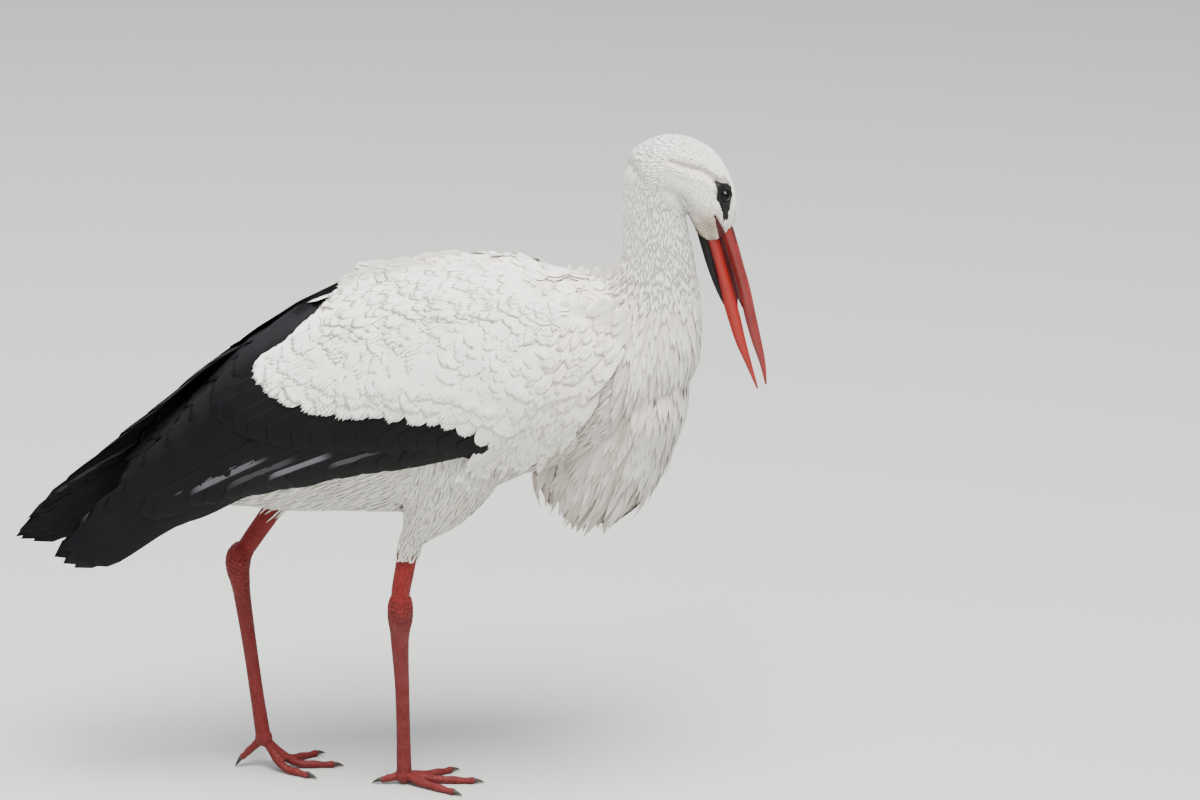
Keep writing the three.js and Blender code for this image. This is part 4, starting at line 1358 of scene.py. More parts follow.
def chestFeathers():
    bunches = []
    hanging = limbGrid(breastRows, 70, 90, downwards, chestCoat["hangingInset"])
    hangingGround = groundOfGrid(hanging)
    neckGround = together(ground, hangingGround)
    lofts = (("neck", limbGrid(neckRows, 120, 90, upwards, coat["neck"]), (0.0, 0.55), neckGround),
             ("trunk", limbGrid(trunkRows, 120, 90, forwards, coat["trunk"]), (0.72, 0.99), ground),
             ("hanging", hanging, (0.02, 0.42), hangingGround))
    for name, grid, span, under in lofts:
        finest = chestCoat["neckFineness"] if name == "neck" else 1.0
        roots = scatter(grid, lambda share: chestCoat["rowGap"] * spread(share, 1.0, finest),
                        lambda share: chestCoat["acrossGap"] * spread(share, 1.0, finest), span=span)
        place = roots["place"]
        away, normals = offSurface(place, under)
        onSkin = away < 4.5 * mm
        if name == "hanging":
            # only where the hanging breast stands clear of the trunk
            body, out = ground.nearest(toMetres(place))
            clear = ((toMetres(place) - body) * out).sum(axis=1) / mm
            onSkin &= (clear > -2) & (place[:, 0] > 165)
        front = normals[:, 0] + 0.012 * (place[:, 0] - (190 if name == "hanging" else 228))
        below = place[:, 2] < neckCoat["from"] + 4 + random.uniform(-12, 12, len(place))
        roots = chosen(roots, onSkin & below & (front > -0.25))
        place = roots["place"]
        count = len(place)
        low = ease(575, 430, place[:, 2])
        length = spread(low, chestCoat["length"], chestCoat["longest"]) * vary(count, 0.34)
        lean = ease(300, 190, place[:, 0])[:, None]
        heading = unit(downwards * (1 - 0.45 * lean) + backwards * (0.06 + lean * 0.5))
        heading = heading + random.normal(0, 0.035, (count, 3))
        rise = spread(low, 1.5, chestCoat["curl"]) * vary(count, 0.16)
        # the uppermost of the hanging ones come out from under the feathers of the neck
        sunk = (3.5 if name == "hanging" else 0) * ease(385, 440, place[:, 2])
        half = chestCoat["half"] * spread(low, 0.5, 1.0) * vary(count, 0.15)
        # the tints mix towards duskyShade, a warm tone partly painted as shade, more on the side towards the
        # rear and lower down
        tint = chestCoat["tint"] + chestCoat["sideTint"] * ease(270, 200, place[:, 0])
        tint = tint + chestCoat["lowTint"] * low + random.uniform(-0.06, 0.14, count)
        bunches.append(combedVanes(
            roots, heading, length, chestCoat["stations"], (0.5, rise, 1.2), half, "pointed",
            np.clip(tint, 0, 1), under, (0.5 * (name != "neck"), 0.5), sunk, across=5, thick=0.5,
            camber=0.22, shaft=0.2, roll=random.normal(0, 0.04, count)))
    return bunches


# long plumes that hang from the base of the neck, in layers from the inside out: inset, first and last
# share of the breast where they start, length, half width
plumeCoat = {"layers": ((13, 0.2, 0.74, 76, 4.6), (8, 0.14, 0.68, 84, 4.8), (4.0, 0.1, 0.6, 88, 4.6)),
             "rowGap": 15.0, "acrossGap": 7.0, "stations": 9, "steps": 26, "fall": (-0.3, 0, -0.95),
             "locks": (17, 29), "early": 34, "rise": 3.8, "tints": (0.8, 0.61, 0.42)}
# how low the tips of the plumes reach along the breast: x, z
plumeHem = np.array([
    (120, 352), (142, 336), (152, 316), (179, 294), (189, 272), (203, 270), (222, 273), (238, 295),
    (253, 300), (269, 312), (289, 356), (299, 387), (310, 423), (330, 470)], float)


def breastPlumes():
    bunches = []
    for layer, (inset, first, last, length, halfWidth) in enumerate(plumeCoat["layers"]):
        grid = limbGrid(breastRows, 90, 72, downwards, inset)
        layerGround = groundOfGrid(grid)
        roots = scatter(grid, plumeCoat["rowGap"], plumeCoat["acrossGap"], span=(first, last))
        place = roots["place"]
        spots, normals = ground.nearest(toMetres(place))
        gap = ((toMetres(place) - spots) * normals).sum(axis=1) / mm
        roots = chosen(roots, (gap > -8) & (gap < 60))
        place = roots["place"]
        count = len(place)
        reach = length * spread(ease(250, 340, place[:, 2]), 0.5, 1.0) * vary(count, 0.28)
        # neighbours gather into locks that part from one another towards their ends
        around = roots["unwrap"][:, 0] * 2 * math.pi
        coarse, fine = plumeCoat["locks"]
        lock = np.sin(around * coarse + layer * 2.1) + 0.6 * np.sin(around * fine + layer)
        heading = unit(roots["flow"] * 0.25 + np.array(plumeCoat["fall"]) * 0.75)
        sideways = unit(np.cross(heading, upwards))
        heading = heading + sideways * (0.16 * np.cos(around * coarse + layer * 2.1))[:, None]
        heading = heading + random.normal(0, 0.045, (count, 3))
        path, normals = combed(place, heading, reach, plumeCoat["steps"], layerGround)
        # the tips end along the hem, some of them well before it
        hem = np.interp(path[..., 0] / mm - originShift, plumeHem[:, 0], plumeHem[:, 1])
        early = plumeCoat["early"] * random.uniform(0, 1, count) ** 1.3 + 8 * (1.2 + lock)
        over = path[..., 2] / mm < hem + early[:, None]
        over[:, -1] = True
        last = np.argmax(over, axis=1)
        keep = last > 5
        path, normals, last, count = path[keep], normals[keep], last[keep], int(keep.sum())
        at = np.linspace(0, 1, plumeCoat["stations"])[None] * last[:, None]
        low = np.minimum(at.astype(int), plumeCoat["steps"] - 2)
        share = (at - low)[..., None]
        places = between(path, low, share)
        normals = unit(between(normals, low, share))
        t = np.linspace(0, 1, plumeCoat["stations"])
        rise = plumeCoat["rise"] * vary(count, 0.4) * (1 - 0.3 * lock[keep])
        lift = 0.4 + t[None] ** 1.2 * rise[:, None]
        half = halfWidth * vary(count, 0.3)
        # painted shade: the inner layers and the plumes towards the rear are tinted darker, those at the
        # front lighter; the tint also rises and falls from lock to lock
        tint = plumeCoat["tints"][layer] + random.uniform(-0.14, 0.2, count)
        tint = tint - 0.16 * lock[keep] - 0.25 * ease(255, 300, places[:, 0, 0] / mm)
        unwrap = roots["unwrap"][keep] * [1, 0.33] + [0, 0.33 * layer]
        bunches.append(vanes(places, normals, half[:, None] * outlines["plume"](t), lift, unwrap,
                             np.clip(tint, 0, 1), across=5, thick=0.6, camber=0.26, shaft=0.3,
                             roll=random.normal(0, 0.16, count)))
    return bunches


featherPiece("chestCoat", chestFeathers(), "hanging")
featherPiece("breastPlumeCoat", breastPlumes(), "hanging", ["breast_plumes"])


# the oval of the trunk ahead of the folded wing, in the same figures as the wing's
shoulderRows = [
    [262, 458, 74, 60, 507, 64], [240, 457, 88, 72, 507, 64], [222, 456, 96, 80, 507, 64],
    [204, 455, 104, 88, 507, 64], [190, 454, 109, 93.5, 507, 64]]
wingTable = {side: smoothRows(shoulderRows + wingOverBody + wingEnds[side], 460) for side in (-1, 1)}


def wingAt(side, x):
    # the wing's oval at a place along the bird: middle, half height, half width, lower edge, ridge
    rows = wingTable[side][::-1]
    return [np.interp(x, rows[:, 0], rows[:, n]) for n in (1, 2, 3, 4, 5)]


def underWing(place, margin):
    # true where the folded wing hides the trunk
    x, y, z = place.T
    covered = np.zeros(len(x), bool)
    for side in (-1, 1):
        lower, ridge = wingAt(side, x)[3:]
        covered |= (y * side > ridge + margin) & (z > lower + margin) & (x < 165)
    return covered


# back, flanks and belly
bodyCoat = {"rowGap": 10.5, "acrossGap": 8.0, "length": 30.0, "half": 6.2, "stations": 8,
            "downRow": 6.4, "downAcross": 3.8, "downLength": 30.0, "downHalf": 3.0,
            "downStations": 6}


def backFeathers():
    grid = limbGrid(trunkRows, 140, 110, forwards, coat["trunk"])
    roots = scatter(grid, bodyCoat["rowGap"], bodyCoat["acrossGap"], wander=0.7, span=(0.06, 0.99))
    place = roots["place"]
    away, normals = offSurface(place, ground)
    near = away < 8 * mm
    back = (normals[:, 2] > -0.35) & (normals[:, 0] + 0.012 * (place[:, 0] - 228) < 0.1)
    roots = chosen(roots, near & back & ~underWing(place, 18) & (place[:, 0] > 95))
    place = roots["place"]
    count = len(place)
    heading = -roots["flow"]
    side = ease(0.25, -0.3, ground.nearest(toMetres(place))[1][:, 2])[:, None]
    shoulder = ease(150, 230, place[:, 0])[:, None]
    heading = unit(heading + downwards * (0.25 + 0.9 * side * shoulder)
                   + random.normal(0, 0.1, (count, 3)))
    length = bodyCoat["length"] * spread(shoulder[:, 0], 1.1, 0.8) * vary(count, 0.2)
    rise = 2.6 * vary(count, 0.4)
    half = bodyCoat["half"] * spread(shoulder[:, 0], 1.1, 0.8) * vary(count, 0.2)
    warm = np.exp(-((place[:, 0] - 235) / 40) ** 2) * ease(430, 500, place[:, 2])
    tint = 0.02 + 0.3 * warm + random.uniform(-0.02, 0.06, count)
    return combedVanes(roots, heading, length, bodyCoat["stations"], (0.8, rise, 1.2), half, "leaf", tint,
                       part=(0, 0.4), across=5, thick=0.4, camber=0.2, shaft=0.15,
                       roll=random.normal(0, 0.05, count))


def bellyFeathers():
    grid = limbGrid(trunkRows, 140, 110, forwards, coat["trunk"])
    roots = scatter(grid, bodyCoat["downRow"], bodyCoat["downAcross"], span=(0.01, 0.86))
    place = roots["place"]
    away, normals = offSurface(place, ground)
    roots = chosen(roots, (away < 9 * mm) & (normals[:, 2] < 0.15) & ~underWing(place, 1))
    place = roots["place"]
    count = len(place)
    heading = unit(-roots["flow"] + downwards * 0.45 + random.normal(0, 0.08, (count, 3)))
    length = bodyCoat["downLength"] * vary(count, 0.35)
    edge = np.max([(place[:, 2] - wingAt(side, place[:, 0])[3]) for side in (-1, 1)], axis=0)
    rise = spread(ease(-6, -34, edge), 0.8, 3.6) * vary(count, 0.12)
    half = bodyCoat["downHalf"] * vary(count, 0.25)
    # painted shade: all belly feathers, under the body, are tinted darker
    tint = 0.34 + random.uniform(-0.05, 0.1, count)
    return combedVanes(roots, heading, length, bodyCoat["downStations"], (0.4, rise, 1.2), half, "lancet",
                       tint, part=(0.5, 0.5), thick=0.45, camber=0.14, roll=random.normal(0, 0.05, count))


thighCoat = {"rowGap": 4.6, "acrossGap": 3.0, "length": 26.0, "half": 2.3, "stations": 6}


def thighFeathers(side):
    grid = limbGrid(legRows[side]["thigh"], 90, 70, inset=coat["thigh"])
    roots = scatter(grid, thighCoat["rowGap"], thighCoat["acrossGap"], span=(0.0, 0.985))
    place = roots["place"]
    roots = chosen(roots, (offSurface(place, ground)[0] < 6 * mm) & ~underWing(place, 12))
    place = roots["place"]
    count = len(place)
    low = roots["share"]
    heading = unit(roots["flow"] + random.normal(0, 0.07, (count, 3)))
    length = thighCoat["length"] * spread(low, 1.1, 0.75) * vary(count, 0.3)
    length = length * (1 + 0.7 * ease(0.8, 0.95, low) * random.uniform(0, 1, count))
    rise = spread(low, 3.2, 1.6) * vary(count, 0.4)
    half = thighCoat["half"] * spread(low, 1.1, 0.62) * vary(count, 0.25)
    # painted shade: the thigh feathers, under the body, are tinted darker
    tint = 0.3 + random.uniform(-0.06, 0.12, count)
    return combedVanes(roots, heading, length, thighCoat["stations"], (0.5, rise, 1.1), half, "lancet", tint,
                       part=(0.5 * (side > 0), 0.5), thick=0.45, camber=0.16,
                       roll=random.normal(0, 0.08, count))


featherPiece("bellyCoat", [bellyFeathers()], "down")
featherPiece("thighCoat", [thighFeathers(-1), thighFeathers(1)], "down")


def pressed(side, x, z, lift):
    # a spot of the side view laid on the wing, raised by its lift
    centre, tall, wide, _, ridge = wingAt(side, x)
    top = np.sqrt(np.maximum(1 - (ridge / wide) ** 2, 0))
    height = np.clip((z - centre) / tall, -0.985, top)
    depth = np.sqrt(1 - height ** 2)
    outward = unit(np.stack([0 * x, depth / wide, height / tall], -1))
    spots = np.stack([x, depth * wide, z], -1) + outward * lift[..., None]
    spots[..., 1] *= side
    return spots


# the feathers of the mantle and shoulders, a saddle over both folded wings
mantlePlan = {"front": 224.0, "rear": {-1: -66.0, 1: -78.0}, "reach": 0.34, "stations": 80, "flank": 16,
              "valley": 9, "rowGap": 10.0, "acrossGap": 9.0, "length": 38.0, "half": 8.5, "feather": 9,
              "underFrom": 100, "underWider": 1.45, "underDepth": 1.8}


def loosened(places, normals, half, lift, unwrap, tint, barbsEach=5):
    # the free barbs at the soft end of each feather, fanned out over its tip
    count, stations = places.shape[:2]
    bunches = []
    t = np.linspace(0, 1, 4)
    for lane in np.linspace(-0.72, 0.72, barbsEach):
        lane = lane + random.uniform(-0.12, 0.12, count)
        start = np.full(count, 0.62) + random.uniform(-0.06, 0.06, count)
        end = 1.06 - 0.22 * np.abs(lane) ** 1.5 + random.uniform(-0.05, 0.05, count)
        at = (start[:, None] + (end - start)[:, None] * t[None]) * (stations - 1)
        low = np.clip(at.astype(int), 0, stations - 2)
        share = (at - low)[..., None]
        line = between(places, low, share)
        facing = unit(between(normals, low, share))
        raised = between(lift, low, share[..., 0])
        along = unit(np.gradient(line, axis=1))
        right = unit(np.cross(along, facing))
        splay = lane[:, None] * half[:, None] * (0.62 + 0.12 * t[None])
        line = line + right * (splay * mm)[..., None]
        width = np.maximum(half * 0.2, 0.5)[:, None] * (1 - 0.75 * t[None] ** 1.4)
        bunches.append(vanes(line, facing, width, raised + 0.08 + 0.1 * t[None], unwrap, tint, thick=0.2,
                             camber=0.35))
    return bunches


def mantleGrid():
    plan = mantlePlan
    x = np.linspace(plan["front"], min(plan["rear"].values()) - 8, plan["stations"])
    rows = np.array(trunkRows)[::-1]
    trunkParts = [np.interp(-x, -rows[:, 0], rows[:, n])[:, None] for n in (2, 3, 4)]
    onWing = ease(205, 168, x)[:, None]
    flanks = []
    for side in (-1, 1):
        centre, tall, wide, lower, ridge = (np.array(part)[:, None] for part in wingAt(side, x))
        centre, tall, wide = (own * onWing + body * (1 - onWing)
                              for own, body in zip((centre, tall, wide), trunkParts))
        first = np.arccos(np.minimum(ridge / wide, 1)) * onWing + math.radians(60) * (1 - onWing)
        last = np.arcsin(np.clip((lower - centre) / tall, -0.97, 1)) * onWing
        angle = first + (last - first) * np.linspace(0, plan["reach"], plan["flank"])[None]
        flanks.append((side * np.cos(angle) * wide, centre + np.sin(angle) * tall))
    y = np.linspace(flanks[0][0][:, 0], flanks[1][0][:, 0], plan["valley"] + 2)[1:-1].T
    share = np.linspace(0, 1, plan["valley"] + 2)[None, 1:-1]
    z = flanks[0][1][:, :1] * (1 - share) + flanks[1][1][:, :1] * share
    y = np.concatenate([flanks[0][0][:, ::-1], y, flanks[1][0]], axis=1)
    z = np.concatenate([flanks[0][1][:, ::-1], z, flanks[1][1]], axis=1)
    middleHeight, tall, wide = trunkParts
    trunk = middleHeight + tall * np.sqrt(np.clip(1 - (y / wide) ** 2, 0, 1))
    return np.stack([x[:, None] + 0 * y, y, np.maximum(z, trunk) + 0.8], -1)


def mantleFeathers():
    plan = mantlePlan
    grid = mantleGrid()
    saddle = groundOfGrid(grid, wrap=False)
    roots = scatter(grid, plan["rowGap"], plan["acrossGap"], wander=0.7, wrap=False)
    place = roots["place"]
    count = len(place)
    length = plan["length"] * spread(ease(215, 90, place[:, 0]), 0.6, 1.1) * vary(count, 0.2)
    rear = np.where(place[:, 1] < 0, plan["rear"][-1], plan["rear"][1])
    keep = place[:, 0] - length * 0.97 > rear - random.uniform(0, 12, count)
    roots, place, length = chosen(roots, keep), place[keep], length[keep]
    count = len(place)
    aside = place[:, 1:2] / 60
    outward = np.clip(aside, -1, 1) * [0, 0.45, 0] + downwards * 0.2 * np.abs(aside)
    heading = unit(backwards + outward + random.normal(0, 0.09, (count, 3)))
    places, normals = combed(place, heading, length, plan["feather"], saddle)
    t = np.linspace(0, 1, plan["feather"])
    front = ease(185, 225, place[:, 0])
    rise = 0.9 * vary(count, 0.1) * (1 - 0.6 * front)
    lift = -0.2 - front[:, None] * (2.2 + 1.6 * (1 - t)) + rise[:, None] * t
    calm = ease(215, 170, place[:, 0]) * ease(22, 55, np.abs(place[:, 1]))
    lift = lift + swell(places[..., 0] / mm, places[..., 2] / mm) * calm[:, None]
    lift = lift - 2.4 * ease(0.7, 1.0, np.abs(2 * roots["unwrap"][:, 0] - 1))[:, None]
    half = plan["half"] * spread(ease(215, 90, place[:, 0]), 0.85, 1.1) * vary(count, 0.25)
    warm = np.exp(-((place[:, 0] + 10) / 45) ** 2) * ease(12, 60, np.abs(place[:, 1]))
    tint = 0.02 + random.uniform(0, 0.08, count) + 0.2 * front + 0.22 * warm
    unwrap = roots["unwrap"] * [1, 0.5] + [0, 0.5]
    base = vanes(places, normals, half[:, None] * outlines["leaf"](t), lift, unwrap, tint, across=5,
                 thick=0.2, camber=0.07, shaft=0.1, roll=random.normal(0, 0.02, count))
    # a lower layer closes the front, where the feathers part over the shoulders
    low = place[:, 0] > plan["underFrom"]
    wider = plan["underWider"] * half[low, None] * outlines["leaf"](t)
    depth = lift[low] - plan["underDepth"]
    under = vanes(places[low], normals[low], wider, depth, unwrap[low], tint[low], across=5, thick=0.2,
                  camber=0.05)
    return [base, under] + loosened(places, normals, half, lift, unwrap, tint)


def swell(x, z):
    # the gentle lumps of feathers that lie over one another
    return (0.7 * np.sin(x / 21 + 1.4 * np.sin(z / 33)) * np.sin(z / 17 + 1.1 * np.sin(x / 29))
            + 0.35 * np.sin(x / 9.5 + z / 12)
            + 0.45 * np.sin(x / 5.6 + 1.6 * np.sin(z / 9.5)) * np.sin(z / 6.2 + 1.5 * np.sin(x / 11)))


def layOut(roots, tips):
    # each feather's run in the side view, its length, and the direction square to it
    run = tips - roots
    length = np.linalg.norm(run, axis=1, keepdims=True)
    ahead = run / length
    return run, length, np.stack([ahead[:, 1], -ahead[:, 0]], -1)


def wingUnwrap(side, x, z, part=0.0):
    # where a root lies on the unwrap of its wing, in the part that its layer takes
    rows = wingTable[side]
    share = np.clip((rows[0, 0] - x) / (rows[0, 0] - rows[-1, 0]), 0, 1)
    return np.stack([share, np.clip((z - 230) / 340, 0, 1)], -1) * [0.98, 0.48] + [0, part]


def wingVanes(side, roots, tips, half, lift, shape, tint, stations=14, across=7, thick=0.5, sag=0.0,
              shingle=0.8, camber=0.6, part=0.0, ragged=0.0, rough=1.0):
    # vanes laid out in the side view and pressed on the wing; part: which half of the unwrap they take
    count = len(roots)
    t = np.linspace(0, 1, stations)
    u, down, _ = sectionOf(across)
    run, length, square = layOut(roots, tips)
    bow = np.sin(math.pi * t)[None, :, None] * np.reshape(sag, (-1, 1, 1)) * np.array([0, -1.0])
    line = roots[:, None] + run[:, None] * t[None, :, None] + bow
    width = np.asarray(half)[:, None] * outlines[shape](t)[None]
    width = width * (1 + ragged * random.normal(0, 1, width.shape))
    reach = u * width[..., None]
    flat = line[:, :, None] + square[:, None, None] * reach[..., None]
    thin = thick * (1 - 0.5 * t)[None, :, None]
    rise = lift[:, :1] + (lift[:, 1:2] - lift[:, :1]) * t[None]
    centre, tall, wide, _, ridge = wingAt(side, line[..., 0])
    belowRidge = np.sqrt(np.maximum(1 - (ridge / wide) ** 2, 0)) - (line[..., 1] - centre) / tall
    rise = rise + swell(line[..., 0], line[..., 1]) * rough * ease(0.0, 0.16, belowRidge)
    height = (rise[..., None] + shingle * u - camber * np.abs(u) ** 2 - down * thin * (1 - np.abs(u) ** 3)
              + 0.45 * (np.abs(u) < 0.01) * (1 - down) * (1 - 0.6 * t)[None, :, None])
    body = pressed(side, flat[..., 0], flat[..., 1], height)
    end = pressed(side, line[:, -1, 0], line[:, -1, 1], rise[:, -1])
    blank = np.zeros((count, stations, 3))
    bunch = vanes(blank, blank, 1.0, 0, wingUnwrap(side, roots[:, 0], roots[:, 1], part), tint, across)
    ring = len(u)
    spots = np.concatenate([body[:, :-1].reshape(count, -1, 3), end[:, None]], axis=1)
    bunch["spots"] = toMetres(spots)
    if side < 0:
        # the right wing is a mirror image, so its faces run the other way
        bunch["loops"] = reversedFaces(bunch["loops"], bunch["sizes"])
    along = np.repeat(t[:-1], ring)
    bunch["vane"] = np.stack([
        np.concatenate([reach[:, :-1].reshape(count, -1) * mm, np.zeros((count, 1))], 1),
        np.concatenate([along[None] * length * mm, length * mm], 1)], -1)
    return bunch


def reversedFaces(loops, sizes):
    starts = np.cumsum(sizes) - sizes
    return np.concatenate([loops[a:a + n][::-1] for a, n in zip(starts, sizes)])


# each row of flight feathers: root x, z, tip x, z, half width, lift at root and tip, sag
# the rows are keyed from the lowest feather to the highest; worn: which feathers have a pale edge
flightPlan = {
    "primaries": {"count": 8, "worn": {}, "keys": [
        [-60, 372, -222, 304, 12, -9, -7, 3], [-80, 392, -262, 284, 13, -9, -6, 3],
        [-90, 402, -302, 256, 14, -9, -5, 3], [-96, 410, -333, 243, 14, -8, -4.5, 2],
        [-100, 418, -346, 256, 13, -7, -4, 2]]},
    "secondaries": {"count": 15, "worn": {4: 0.35, 7: 0.8, 9: 0.25, 11: 0.6, 12: 0.35}, "keys": [
        [120, 404, 28, 383, 11, -7, -4, 2], [96, 408, -20, 371, 12, -7, -4, 3],
        [60, 414, -78, 356, 13, -7, -4, 3], [30, 418, -128, 342, 14, -6.5, -3.6, 3],
        [0, 424, -176, 330, 14, -6, -3.2, 4], [-24, 432, -222, 320, 14, -5.5, -3, 4],
        [-44, 442, -258, 306, 15, -5, -2.6, 4]]},
    "underTertials": {"count": 7, "worn": {}, "keys": [
        [-40, 440, -250, 300, 22, -9, -7, 4], [-36, 476, -236, 352, 22, -10, -7, 4],
        [-30, 508, -200, 400, 20, -8, -6.5, 4], [-24, 524, -150, 440, 18, -8, -5, 3]]},
    "tertials": {"count": 10, "worn": {1: 0.3}, "keys": [
        [-64, 448, -342, 264, 15, -6, -2.4, 4], [-60, 464, -324, 287, 16, -6, -2.1, 4],
        [-55, 482, -298, 311, 17, -6, -1.8, 4], [-50, 502, -267, 343, 17, -6.5, -1.5, 4],
        [-45, 520, -231, 381, 17, -6, -1.1, 3], [-42, 536, -194, 420, 16, -6, -0.8, 2],
        [-40, 548, -160, 458, 14, -6, -0.4, 1]]},
    "greaterCoverts": {"count": 15, "worn": {}, "keys": [
        [126, 412, 88, 389, 12, -4, -1.6, 2], [98, 424, 48, 396, 13, -4, -1.6, 2],
        [60, 436, 0, 396, 14, -4, -1.6, 2], [20, 444, -52, 394, 15, -4, -1.6, 2],
        [-20, 452, -104, 396, 15, -3.8, -1.5, 2], [-60, 462, -152, 408, 15, -3.4, -1.3, 2],
        [-90, 474, -182, 424, 14, -3, -1.1, 2]]}}
leftWingTip = {"back": -46.0, "raised": 12.0}  # how much farther back and higher the left wing ends


# the long feathers that close the back between the two wings
closingPlan = {"angles": (0.1, 0.27, 0.45, 0.63), "front": -30.0, "rear": -300.0, "step": 30.0,
               "length": 96.0, "half": 11.0, "stations": 14, "rootLift": -7.0, "rise": 4.6}


def closingFeathers(side):
    plan = closingPlan
    starts = np.arange(plan["front"], plan["rear"] + plan["length"] - 12 * side, -plan["step"])
    start, angle = (part.ravel() for part in np.meshgrid(starts, plan["angles"]))
    number = np.arange(len(start))
    start = start + 6 * np.sin(2.4 * number)
    t = np.linspace(0, 1, plan["stations"])

    def arch(x, turn):
        centre, tall, wide = wingAt(side, x)[:3]
        return np.stack([x, side * np.sin(turn) * wide, centre + np.cos(turn) * tall], -1)

    x = start[:, None] - plan["length"] * t[None]
    turn = np.broadcast_to(angle[:, None], x.shape)
    line = arch(x, turn)
    normals = unit(np.cross(arch(x + 2, turn) - arch(x - 2, turn), arch(x, turn + 0.03 * side) - line))
    normals = normals * np.sign(normals[..., 2:])
    half = plan["half"] * outlines["tertial"](t)[None] * np.ones((len(start), 1))
    lift = plan["rootLift"] + plan["rise"] * t[None] + 0.4 * np.sin(1.7 * number)[:, None]
    unwrap = wingUnwrap(side, start, np.full(len(start), 570.0)) - angle[:, None] * [0, 0.02]
    return vanes(toMetres(line), normals, half, lift, unwrap, 0.0, across=7, thick=0.5, camber=0.1, shaft=0.3)


def flightFeathers(side):
    bunches = []
    for name, plan in flightPlan.items():
        keys = smoothRows(plan["keys"], plan["count"])
        roots, tips = keys[:, 0:2].copy(), keys[:, 2:4].copy()
        if side > 0:
            far = ease(-120, -330, tips[:, 0])
            tips += np.stack([far * leftWingTip["back"], far * leftWingTip["raised"]], -1)
        tips += random.uniform(-2.5, 2.5, tips.shape)
        silver = np.array([plan["worn"].get(number, 0.0) for number in range(len(keys))])
        shape = "tertial" if name == "tertials" else "blade"
        bunches.append(wingVanes(side, roots, tips, keys[:, 4], keys[:, 5:7], shape, silver, stations=20,
                                 sag=keys[:, 7], shingle=1.3, camber=0.9, rough=0.25))
    return bunches + [closingFeathers(side)]


# the white coverts: their border over the black feathers, x, z, and what they are made of
covertBorder = [(-66, 560), (-72, 504), (-106, 482), (-138, 457), (-120, 446), (-80, 433), (-54, 428),
                (-27, 433), (10, 426), (50, 423), (96, 402), (112, 380)]
covertPlan = {"rowGap": 11.5, "acrossGap": 12.0, "length": 42.0, "half": 12.0, "edgeLength": 52.0,
              "edgeHalf": 13.5, "farShift": {-1: 0.0, 1: -12.0},
              # rows along the border: how far in, how far raised, gap between feathers
              "edgeRows": ((0, -1.2, 19.0), (15, -0.8, 15.2), (29, -0.4, 13.3))}


def covertHeading(x, z, side):
    # the lie of the coverts in the side view: back at the ridge, down and back at the lower edge
    centre, tall, _, lower, _ = wingAt(side, x)
    share = np.clip((centre + tall * 0.95 - z) / (centre + tall * 0.95 - lower), 0, 1)
    slope = np.radians(spread(share, 20, 72))
    rear = ease(-50, -135, x)
    slope = slope * (1 - rear) + math.radians(33) * rear
    return np.stack([-np.cos(slope), -np.sin(slope)], -1)


def insideCoverts(x, z, side, margin):
    zone = [(a + covertPlan["farShift"][side], b) for a, b in covertBorder] + [(200, 360), (220, 600)]
    return insideOutline(x, z, zone) > margin


def wingBarbs(side, start, tips, half, lift, tint, barbsEach=5):
    # the free barbs at the ends of the coverts
    run, _, square = layOut(start, tips)
    bunches = []
    for lane in np.linspace(-0.74, 0.74, barbsEach):
        lane = lane + random.uniform(-0.1, 0.1, len(start))
        first = 0.66 + random.uniform(-0.05, 0.05, len(start))
        end = 1.05 - 0.2 * np.abs(lane) ** 1.6 + random.uniform(-0.03, 0.03, len(start))
        roots = start + run * first[:, None] + square * (lane * half * 0.66)[:, None]
        ends = start + run * end[:, None] + square * (lane * half * 0.82)[:, None]
        low = lift[:, 0] + (lift[:, 1] - lift[:, 0]) * first
        high = lift[:, 1] - 0.25 * lane ** 2
        rise = np.stack([low + 0.05, high + 0.12], -1)
        bunches.append(wingVanes(side, roots, ends, half * 0.17, rise, "leaf", tint, stations=5, across=3,
                                 thick=0.15, camber=0.3, shingle=0.0, part=0.5))
    return bunches


def spotsAlong(line, first, gap, wander):
    # spots at even gaps along a line of the side view, each moved a little at random
    stretch = np.concatenate([[0], np.cumsum(np.linalg.norm(np.diff(line, axis=0), axis=1))])
    at = np.arange(first, stretch[-1], gap)
    at = at + random.uniform(-wander, wander, len(at))
    return np.stack([np.interp(at, stretch, line[:, n]) for n in (0, 1)], -1)


# long loose feathers of the breast side that fall over the front of the folded wing: x, z of its front edge,
# and for each row how far ahead of it the feathers start and how long they are
wingFront = np.array([
    (186, 548), (180, 520), (174, 500), (152, 466), (130, 430), (108, 410), (88, 398)], float)
breastSide = {"rows": ((72, 34), (60, 36), (49, 38), (39, 40), (30, 42), (21, 44), (13, 46), (5, 42)),
              "gap": 6.6, "wander": 4.5, "upperHalf": 5.6, "lowerHalf": 3.8}


